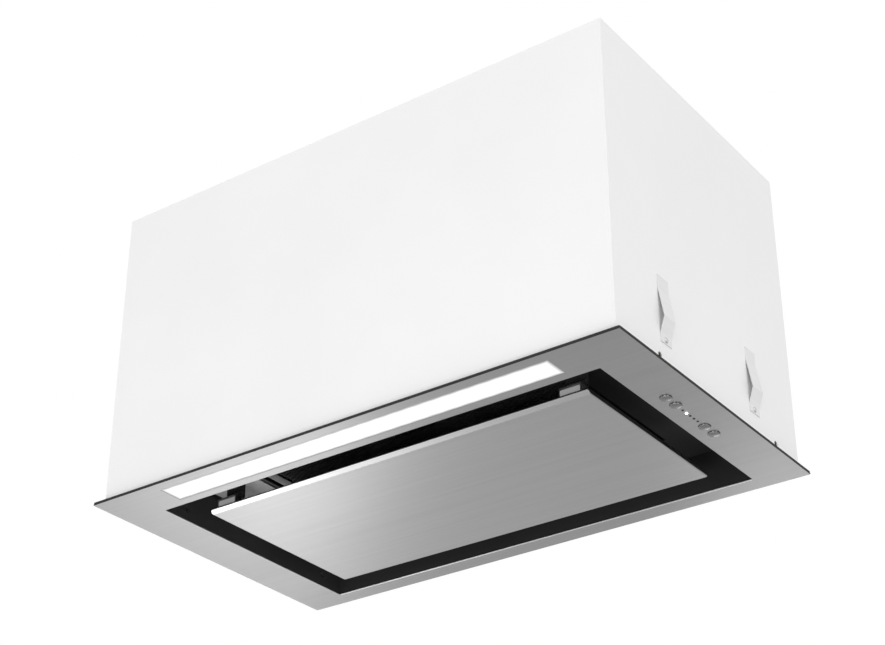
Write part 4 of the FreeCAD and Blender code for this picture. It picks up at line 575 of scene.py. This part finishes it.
# %% Turned shapes
def follow(tree, along, values):
    node = add(tree, "ShaderNodeFloatCurve", {"Value": along})
    curve = node.mapping.curves[0]
    last = len(values) - 1
    curve.points[0].location = (0.0, values[0])
    curve.points[1].location = (1.0, values[last])
    for i in range(1, last):
        curve.points.new(i / last, values[i])
    for point in curve.points:
        point.handle_type = "VECTOR"
    node.mapping.update()
    return node.outputs[0]


def turned_shape(tree, profile, radius, height, sides):
    line = add(tree, "GeometryNodeCurvePrimitiveLine")
    steps = add(tree, "GeometryNodeResampleCurve", {"Curve": line.outputs[0], "Count": len(profile)})
    number = add(tree, "GeometryNodeSplineParameter").outputs["Index"]
    along = math(tree, "DIVIDE", number, len(profile) - 1.0)
    rise = math(tree, "MULTIPLY", follow(tree, along, [z for z, r in profile]), height)
    place = add(tree, "ShaderNodeCombineXYZ", {"Z": rise})
    spine = add(tree, "GeometryNodeSetPosition", {"Geometry": steps.outputs[0],
                                                  "Position": place.outputs[0]})
    width = math(tree, "MULTIPLY", follow(tree, along, [r for z, r in profile]), radius)
    ring = add(tree, "GeometryNodeCurvePrimitiveCircle", {"Resolution": sides, "Radius": 1.0})
    swept = add(tree, "GeometryNodeCurveToMesh", {"Curve": spine.outputs[0], "Scale": width,
                                                  "Profile Curve": ring.outputs[0], "Fill Caps": True})
    return swept.outputs[0]


def moved(tree, geometry, shift=(0, 0, 0), turn=(0, 0, 0)):
    node = add(tree, "GeometryNodeTransform", {"Geometry": geometry, "Translation": shift, "Rotation": turn})
    return node.outputs[0]


def on_points(tree, points, shape, direction):
    facing = add(tree, "FunctionNodeAlignRotationToVector", {"Vector": direction}, axis="Z")
    placed = add(tree, "GeometryNodeInstanceOnPoints", {"Points": points, "Instance": shape,
                                                        "Rotation": facing.outputs[0]})
    return placed.outputs[0]


def dome(count):
    return [(sin(pi / 2 * i / count), cos(pi / 2 * i / count)) for i in range(count)] + [(1.0, 0.02)]


WELD_REACH = 0.01 * MM


def islands(node):
    mesh = bmesh.new()
    mesh.from_mesh(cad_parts[node].data)
    bmesh.ops.remove_doubles(mesh, verts=mesh.verts, dist=WELD_REACH)
    left = set(mesh.verts)
    boxes = []
    while left:
        island = {left.pop()}
        edge = set(island)
        while edge:
            edge = {e.other_vert(v) for v in edge for e in v.link_edges} - island
            island |= edge
        left -= island
        corners = [v.co for v in island]
        boxes.append((Vector([min(c[i] for c in corners) for i in range(3)]),
                      Vector([max(c[i] for c in corners) for i in range(3)])))
    mesh.free()
    return sorted(boxes, key=lambda b: tuple(b[0]))


print("screws found in the frame", len(islands("casing_screws")), len(islands("collar_screws")))

# %% [markdown]
# The screws that hold the top sheet, the driver's cover and the collar are pan heads with a cross
# recess. The head and the ringed shank are turned shapes, and a Mesh Boolean cuts two crossed bars out
# of the head; its manifold solver leaves a closed mesh, and close corners are merged. Each screw is
# put where the frame has one, and takes its width and length from the solid that it stands for.

# %% Cross-recess screws
screw_tree, s_in = new_tree("cross_screw", {"Head Radius": 3.4 * MM, "Head Height": 1.8 * MM,
                                            "Shank Radius": 1.8 * MM, "Shank Length": 6.0 * MM,
                                            "Recess Width": 0.9 * MM, "Side": 1.0})
RECESS_SPAN = 1.15
MERGE_REACH = 0.004 * MM
PAN_HEAD = [(0.0, 0.98), (0.05, 1.0), (0.50, 1.0), (0.70, 0.96), (0.85, 0.88), (0.95, 0.76), (1.0, 0.62)]
HEAD_SIDES = 24
SHANK_SIDES = 12
THREADS = 8
TIP_SHARE = 0.12
THREAD_ROOT = 0.80
HALF_THREAD = 0.05
threaded = [(0.0, 0.30), (TIP_SHARE, THREAD_ROOT)]
for i in range(1, THREADS):
    start = TIP_SHARE + (1.0 - TIP_SHARE) * (i - 1) / THREADS
    threaded += [(start + HALF_THREAD, 1.0), (start + 2 * HALF_THREAD, THREAD_ROOT)]
threaded += [(1.0, THREAD_ROOT)]
head = turned_shape(screw_tree, PAN_HEAD, s_in["Head Radius"], s_in["Head Height"], HEAD_SIDES)
bar_length = math(screw_tree, "MULTIPLY", s_in["Head Radius"], RECESS_SPAN)
bar_size = add(screw_tree, "ShaderNodeCombineXYZ", {"X": bar_length, "Y": s_in["Recess Width"],
                                                    "Z": s_in["Head Height"]})
bar = add(screw_tree, "GeometryNodeMeshCube", {"Size": bar_size.outputs[0]}).outputs[0]
bar_rise = add(screw_tree, "ShaderNodeCombineXYZ", {"Z": s_in["Head Height"]}).outputs[0]
bar = moved(screw_tree, bar, bar_rise)
recess = add(screw_tree, "GeometryNodeMeshBoolean", {"Mesh 1": head}, operation="DIFFERENCE",
             solver="MANIFOLD")
for turn in (0.0, pi / 2):
    screw_tree.links.new(moved(screw_tree, bar, turn=(0, 0, turn)), recess.inputs["Mesh 2"])
clean_head = add(screw_tree, "GeometryNodeMergeByDistance", {"Geometry": recess.outputs[0],
                                                             "Distance": MERGE_REACH}).outputs[0]
shank = turned_shape(screw_tree, threaded, s_in["Shank Radius"], s_in["Shank Length"], SHANK_SIDES)
shank_drop = math(screw_tree, "MULTIPLY", s_in["Shank Length"], -1.0)
drop = add(screw_tree, "ShaderNodeCombineXYZ", {"Z": shank_drop})
whole = add(screw_tree, "GeometryNodeJoinGeometry")
for shape in (moved(screw_tree, shank, drop.outputs[0]), clean_head):
    screw_tree.links.new(shape, whole.inputs[0])
facing = add(screw_tree, "ShaderNodeCombineXYZ", {"Z": s_in["Side"]}).outputs[0]
close_tree(screw_tree, on_points(screw_tree, s_in["Points"], whole.outputs[0], facing), s_in["Finish"])

SCREW_HEAD = 1.8 * MM
CASING_SHANK = 1.8 * MM
COLLAR_SHANK = 2.0 * MM
casing_screws = islands("casing_screws")
casing_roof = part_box("casing_top")[0].z
top_screws = [b for b in casing_screws if b[1].z > casing_roof]
cover_screws = [b for b in casing_screws if b[1].z < casing_roof]
screw_sets = (("cross_casing_screws", "casing_screws", top_screws, 1.0, CASING_SHANK),
              ("cross_cover_screws", "casing_screws", cover_screws, -1.0, CASING_SHANK),
              ("cross_collar_screws", "collar_screws", islands("collar_screws"), 1.0, COLLAR_SHANK))
for name, node, boxes, side, shank_radius in screw_sets:
    low, high = boxes[0]
    seats = []
    for a, b in boxes:
        middle = (a + b) / 2
        seats.append((middle.x, middle.y, b.z - SCREW_HEAD if side > 0 else a.z + SCREW_HEAD))
    sizes = {"Head Radius": (high.x - low.x) / 2, "Head Height": SCREW_HEAD, "Shank Radius": shank_radius,
             "Shank Length": high.z - low.z - SCREW_HEAD, "Side": side}
    piece = grow(name, screw_tree, seats, finishes["zinc_steel"], sizes, "hood")
    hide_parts(node)

# %% [markdown]
# Each side spring is held by one rivet through its flat foot. The rivet is a turned dome, and its
# tree is reused for the small lenses beside the buttons: a lens is a light pipe with a dome at its
# lower end, so the dome shows below the steel and the pipe runs up to the board.

# %% Rivets and lenses
dome_tree, d_in = new_tree("turned_dome", {"Radius": 2.0 * MM, "Height": 1.0 * MM, "Pipe Length": 1.0 * MM,
                                           "Direction": (0.0, 0.0, 1.0)})
DOME_STEPS = 6
DOME_SIDES = 20
PIPE = [(0.0, 0.8), (0.1, 0.9), (0.95, 0.9), (1.0, 1.0)]
cap = turned_shape(dome_tree, dome(DOME_STEPS), d_in["Radius"], d_in["Height"], DOME_SIDES)
pipe = turned_shape(dome_tree, PIPE, d_in["Radius"], d_in["Pipe Length"], DOME_SIDES)
pipe_drop = math(dome_tree, "MULTIPLY", d_in["Pipe Length"], -1.0)
sunk = add(dome_tree, "ShaderNodeCombineXYZ", {"Z": pipe_drop})
rivet = add(dome_tree, "GeometryNodeJoinGeometry")
for shape in (moved(dome_tree, pipe, sunk.outputs[0]), cap):
    dome_tree.links.new(shape, rivet.inputs[0])
domes = on_points(dome_tree, d_in["Points"], rivet.outputs[0], d_in["Direction"])
close_tree(dome_tree, domes, d_in["Finish"])

RIVET_RADIUS = 2.4 * MM
RIVET_HEIGHT = 1.0 * MM
RIVET_RISE = 3.5 * MM
RIVET_SINK = 0.5 * MM
SPRING_SHEET = 0.6 * MM
casing_low, casing_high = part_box("casing_shell")
for name, side, wall in (("left", -1.0, casing_low.x), ("right", 1.0, casing_high.x)):
    feet = [b for b in islands("side_springs") if b[0].x * side > 0]
    seats = [(wall + side * SPRING_SHEET, (a.y + b.y) / 2, a.z + RIVET_RISE) for a, b in feet]
    grow("spring_rivets_" + name, dome_tree, seats, finishes["zinc_steel"],
         {"Radius": RIVET_RADIUS, "Height": RIVET_HEIGHT, "Pipe Length": RIVET_SINK,
          "Direction": (side, 0.0, 0.0)}, "hood")

LENS_RADIUS = 1.1 * MM
LENS_DOME = 0.5 * MM
for name, node, slot in (("dark_lenses", "indicator_lenses", "clear_lens"),
                         ("lit_lens", "indicator_lens_lit", "lit_lens")):
    boxes = islands(node)
    seats = [((a.x + b.x) / 2, (a.y + b.y) / 2, a.z) for a, b in boxes]
    piece = grow(name, dome_tree, seats, finishes[slot],
                 {"Radius": LENS_RADIUS, "Height": LENS_DOME, "Pipe Length": boxes[0][1].z - boxes[0][0].z,
                  "Direction": (0.0, 0.0, -1.0)}, "hood")
    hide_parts(node)

# %% [markdown]
# The grease filter is two layers of expanded aluminium: a sheet slit in staggered rows and pulled
# open into diamonds. Here each row is a zigzag line. Neighbouring rows zigzag the other way, so their
# peaks meet, as the uncut bridges do in the real sheet. Points inside the latch's notch are deleted
# before the lines get their thickness, so every cut strand has a closed end.

# %% Expanded filter mesh
mesh_tree, m_in = new_tree("expanded_mesh", {
    "Width": 300.0 * MM, "Depth": 160.0 * MM, "Step": 8.0 * MM, "Pitch": 2.0 * MM, "Strand Width": 0.9 * MM,
    "Strand Thickness": 0.6 * MM, "Notch Half": 20.0 * MM, "Notch Depth": 40.0 * MM})
PEAK_OVERLAP = 1.06
STRAND_TILT = 0.3


def whole_number(tree, a, b):
    return math(tree, "FLOOR", math(tree, "DIVIDE", a, b))


def node_position(tree):
    return add(tree, "ShaderNodeSeparateXYZ", {"Vector": add(tree, "GeometryNodeInputPosition").outputs[0]})


half_step = math(mesh_tree, "MULTIPLY", m_in["Step"], 0.5)
columns = whole_number(mesh_tree, m_in["Width"], half_step)
row_room = math(mesh_tree, "SUBTRACT", m_in["Depth"], m_in["Strand Width"])
rows = whole_number(mesh_tree, row_room, m_in["Pitch"])
first_x = math(mesh_tree, "MULTIPLY", math(mesh_tree, "MULTIPLY", columns, half_step), -0.5)
row_span = math(mesh_tree, "MULTIPLY", math(mesh_tree, "SUBTRACT", rows, 1.0), m_in["Pitch"])
first_y = math(mesh_tree, "MULTIPLY", row_span, -0.5)
strand = add(mesh_tree, "GeometryNodeMeshLine", {
    "Count": math(mesh_tree, "ADD", columns, 1.0),
    "Start Location": add(mesh_tree, "ShaderNodeCombineXYZ", {"X": first_x}).outputs[0],
    "Offset": add(mesh_tree, "ShaderNodeCombineXYZ", {"X": half_step}).outputs[0]})
row_places = add(mesh_tree, "GeometryNodeMeshLine", {
    "Count": rows,
    "Start Location": add(mesh_tree, "ShaderNodeCombineXYZ", {"Y": first_y}).outputs[0],
    "Offset": add(mesh_tree, "ShaderNodeCombineXYZ", {"Y": m_in["Pitch"]}).outputs[0]})
lines = add(mesh_tree, "GeometryNodeInstanceOnPoints", {"Points": row_places.outputs[0],
                                                        "Instance": strand.outputs[0]})
lines = add(mesh_tree, "GeometryNodeRealizeInstances", {"Geometry": lines.outputs[0]})
spot = node_position(mesh_tree)
column = math(mesh_tree, "DIVIDE", math(mesh_tree, "SUBTRACT", spot.outputs["X"], first_x), half_step)
row = math(mesh_tree, "DIVIDE", math(mesh_tree, "SUBTRACT", spot.outputs["Y"], first_y), m_in["Pitch"])
place = math(mesh_tree, "ROUND", math(mesh_tree, "ADD", column, row))
swing = math(mesh_tree, "SUBTRACT", math(mesh_tree, "MODULO", place, 2.0), 0.5)
row_gap = math(mesh_tree, "SUBTRACT", m_in["Pitch"], m_in["Strand Width"])
reach = math(mesh_tree, "MULTIPLY", row_gap, PEAK_OVERLAP)
tilt = math(mesh_tree, "MULTIPLY", m_in["Strand Thickness"], STRAND_TILT)
zigzag = add(mesh_tree, "ShaderNodeCombineXYZ", {"Y": math(mesh_tree, "MULTIPLY", swing, reach),
                                                 "Z": math(mesh_tree, "MULTIPLY", swing, tilt)})
lines = add(mesh_tree, "GeometryNodeSetPosition", {"Geometry": lines.outputs[0],
                                                   "Offset": zigzag.outputs[0]})
inside = math(mesh_tree, "LESS_THAN", math(mesh_tree, "ABSOLUTE", spot.outputs["X"]), m_in["Notch Half"])
from_front = math(mesh_tree, "ADD", spot.outputs["Y"], math(mesh_tree, "MULTIPLY", m_in["Depth"], 0.5))
ahead = math(mesh_tree, "LESS_THAN", from_front, m_in["Notch Depth"])
notch = math(mesh_tree, "MULTIPLY", inside, ahead)
lines = add(mesh_tree, "GeometryNodeDeleteGeometry", {"Geometry": lines.outputs[0], "Selection": notch},
            domain="POINT")
lines = add(mesh_tree, "GeometryNodeMeshToCurve", {"Mesh": lines.outputs[0]})
lines = add(mesh_tree, "GeometryNodeSetCurveNormal", {"Curve": lines.outputs[0]}, mode="Z_UP")
section = add(mesh_tree, "GeometryNodeCurvePrimitiveQuadrilateral", {"Width": m_in["Strand Thickness"],
                                                                     "Height": m_in["Strand Width"]})
sheet = add(mesh_tree, "GeometryNodeCurveToMesh", {"Curve": lines.outputs[0], "Fill Caps": True,
                                                   "Profile Curve": section.outputs[0]})
layers = add(mesh_tree, "GeometryNodeInstanceOnPoints", {"Points": m_in["Points"],
                                                         "Instance": sheet.outputs[0]})
close_tree(mesh_tree, layers.outputs[0], m_in["Finish"])

MESH_STEP = 8.0 * MM
MESH_PITCH = 2.1 * MM
STRAND_WIDTH = 0.9 * MM
STRAND_THICKNESS = 0.6 * MM
NOTCH_SIDE_GAP = 0.5 * MM
NOTCH_BACK_GAP = 1.5 * MM
base_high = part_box("latch_base")[1]
layer_boxes = islands("filter_mesh")
seats = [tuple((a + b) / 2) for a, b in layer_boxes]
low, high = layer_boxes[0]
piece = grow("filter_strands", mesh_tree, seats, finishes["filter_aluminium"],
             {"Width": high.x - low.x, "Depth": high.y - low.y, "Step": MESH_STEP, "Pitch": MESH_PITCH,
              "Strand Width": STRAND_WIDTH, "Strand Thickness": STRAND_THICKNESS,
              "Notch Half": base_high.x + NOTCH_SIDE_GAP,
              "Notch Depth": base_high.y - low.y + NOTCH_BACK_GAP}, "hood")
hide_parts("filter_mesh")

# %% [markdown]
# Ribs give the fingers a hold on the filter latch, flutes do the same on the cable gland, and longer
# ribs stiffen the two damper flaps. One tree makes round bars of one given length. A second tree is
# for the flaps, where the bars follow a rule: each runs from near the pin to just short of the round
# edge, so its length comes from the circle's equation at its own place.

# %% Ribs and flutes
ALONG_X = (1.0, 0.0, 0.0)
ALONG_Z = (0.0, 0.0, 1.0)
RIB_SIDES = 10
ROUND_END_BAR = [(0.0, 0.3), (0.03, 0.85), (0.06, 1.0), (0.94, 1.0), (0.97, 0.85), (1.0, 0.3)]
rib_tree, r_in = new_tree("round_ribs", {"Length": 10.0 * MM, "Radius": 0.6 * MM, "Direction": ALONG_X})
rod = turned_shape(rib_tree, ROUND_END_BAR, r_in["Radius"], r_in["Length"], RIB_SIDES)
close_tree(rib_tree, on_points(rib_tree, r_in["Points"], rod, r_in["Direction"]), r_in["Finish"])

GRIP_RIBS = 4
GRIP_RIB_END = 2.0 * MM
GRIP_DEPTH = 9.0 * MM
GRIP_RIB_RADIUS = 0.5 * MM
latch_low, latch_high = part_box("filter_latch")
rib_places = [(latch_low.x + GRIP_RIB_END, latch_high.y - GRIP_DEPTH * (i + 0.5) / GRIP_RIBS, latch_low.z)
              for i in range(GRIP_RIBS)]
grow("latch_grip_ribs", rib_tree, rib_places, finishes["black_plastic"],
     {"Length": latch_high.x - latch_low.x - 2 * GRIP_RIB_END, "Radius": GRIP_RIB_RADIUS,
      "Direction": ALONG_X}, "latch")

FLUTES = 20
GLAND_DOME_RADIUS = 9.5 * MM
GLAND_DOME_HEIGHT = 8.0 * MM
FLUTE_END = 0.6 * MM
FLUTE_RADIUS = 0.7 * MM
gland_low, gland_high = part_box("cable_gland")
gland_x = (gland_low.x + gland_high.x) / 2
gland_y = (gland_low.y + gland_high.y) / 2
flute_places = [(gland_x + GLAND_DOME_RADIUS * cos(2 * pi * i / FLUTES),
                 gland_y + GLAND_DOME_RADIUS * sin(2 * pi * i / FLUTES),
                 gland_high.z - GLAND_DOME_HEIGHT + FLUTE_END) for i in range(FLUTES)]
grow("gland_flutes", rib_tree, flute_places, finishes["black_plastic"],
     {"Length": GLAND_DOME_HEIGHT - 2 * FLUTE_END, "Radius": FLUTE_RADIUS, "Direction": ALONG_Z},
     "hood")

flap_tree, f_in = new_tree("flap_ribs", {"Disc Radius": 70.0 * MM, "Disc Centre": 42.0 * MM,
                                         "Start": 12.0 * MM, "Edge Gap": 6.0 * MM, "Radius": 1.0 * MM,
                                         "Side": 1.0})
at = node_position(flap_tree)
aside = math(flap_tree, "SUBTRACT", at.outputs["Y"], f_in["Disc Centre"])
square = math(flap_tree, "SUBTRACT", math(flap_tree, "POWER", f_in["Disc Radius"], 2.0),
              math(flap_tree, "MULTIPLY", aside, aside))
span = math(flap_tree, "SUBTRACT", math(flap_tree, "SQRT", square),
            math(flap_tree, "ADD", f_in["Start"], f_in["Edge Gap"]))
turned_back = math(flap_tree, "MULTIPLY", math(flap_tree, "MINIMUM", f_in["Side"], 0.0), span)
start_x = math(flap_tree, "ADD", math(flap_tree, "MULTIPLY", f_in["Side"], f_in["Start"]), turned_back)
start_shift = add(flap_tree, "ShaderNodeCombineXYZ", {"X": start_x})
starts = add(flap_tree, "GeometryNodeSetPosition", {"Geometry": f_in["Points"],
                                                    "Offset": start_shift.outputs[0]})
LONG_BAR = [(0.0, 0.3), (0.02, 1.0), (0.98, 1.0), (1.0, 0.3)]
long_rod = turned_shape(flap_tree, LONG_BAR, f_in["Radius"], 1.0, RIB_SIDES)
long_rod = moved(flap_tree, long_rod, turn=(0.0, pi / 2, 0.0))
lengths = add(flap_tree, "ShaderNodeCombineXYZ", {"X": span, "Y": 1.0, "Z": 1.0})
bars = add(flap_tree, "GeometryNodeInstanceOnPoints", {"Points": starts.outputs[0], "Instance": long_rod,
                                                       "Scale": lengths.outputs[0]})
close_tree(flap_tree, bars.outputs[0], f_in["Finish"])

RIB_SPACING = 22.0 * MM
FLAP_RIB_START = 12.0 * MM
FLAP_RIB_GAP = 6.0 * MM
FLAP_RIB_RADIUS = 1.0 * MM
FLAP_SHEET = 1.2 * MM
pin_low, pin_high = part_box("damper_pin")
damper_level = (pin_low.z + pin_high.z) / 2
collar_low, collar_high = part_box("duct_collar")
duct_y = (collar_low.y + collar_high.y) / 2
for name, body, side in (("flap_ribs_left", "flap_left", -1.0), ("flap_ribs_right", "flap_right", 1.0)):
    places = [(0.0, duct_y + RIB_SPACING * i, damper_level + FLAP_SHEET / 2) for i in range(-2, 3)]
    low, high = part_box("damper_" + body)
    grow(name, flap_tree, places, finishes["dark_plastic"],
         {"Disc Radius": high.x if side > 0 else -low.x, "Disc Centre": duct_y, "Start": FLAP_RIB_START,
          "Edge Gap": FLAP_RIB_GAP, "Radius": FLAP_RIB_RADIUS, "Side": side}, body)

# %% [markdown]
# The back edge of the opening is rolled, so that it isn't sharp when the panel hangs open. A thin rod
# is sunk into the sheet's lower edge. Only a sliver of its round shows, and the light runs along it.
# Its steel is given a far paler tone than the sheet, a painted highlight along the edge.

# %% Rolled edge of the opening
SIDE_BORDER = 43.0 * MM
BACK_BORDER = 19.0 * MM
ROLL_RADIUS = 0.7 * MM
ROLL_SHOWS = 0.4 * MM
ROLL_SIDES = 20
SQUARE_END_BAR = [(0.0, 0.6), (0.001, 1.0), (0.999, 1.0), (1.0, 0.6)]
plate_low, plate_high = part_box("flange_plate")
roll_tree, e_in = new_tree("rolled_edge", {"Length": 400.0 * MM, "Radius": 0.5 * MM, "Direction": ALONG_X})
roll = turned_shape(roll_tree, SQUARE_END_BAR, e_in["Radius"], e_in["Length"], ROLL_SIDES)
close_tree(roll_tree, on_points(roll_tree, e_in["Points"], roll, e_in["Direction"]), e_in["Finish"])
roll_start = (plate_low.x + SIDE_BORDER, plate_high.y - BACK_BORDER + ROLL_RADIUS - ROLL_SHOWS,
              plate_low.z + ROLL_RADIUS - ROLL_SHOWS)
# A much paler steel than the flange: painted highlight along the rolled edge.
painted_highlight_steel = brushed_metal("rolled_edge_painted_highlight", 0.86, 0.92, 0.28, 0.30, depth=HAIRLINE)
grow("opening_rolled_edge", roll_tree, [roll_start], painted_highlight_steel,
     {"Length": plate_high.x - plate_low.x - 2 * SIDE_BORDER, "Radius": ROLL_RADIUS, "Direction": ALONG_X},
     "hood")
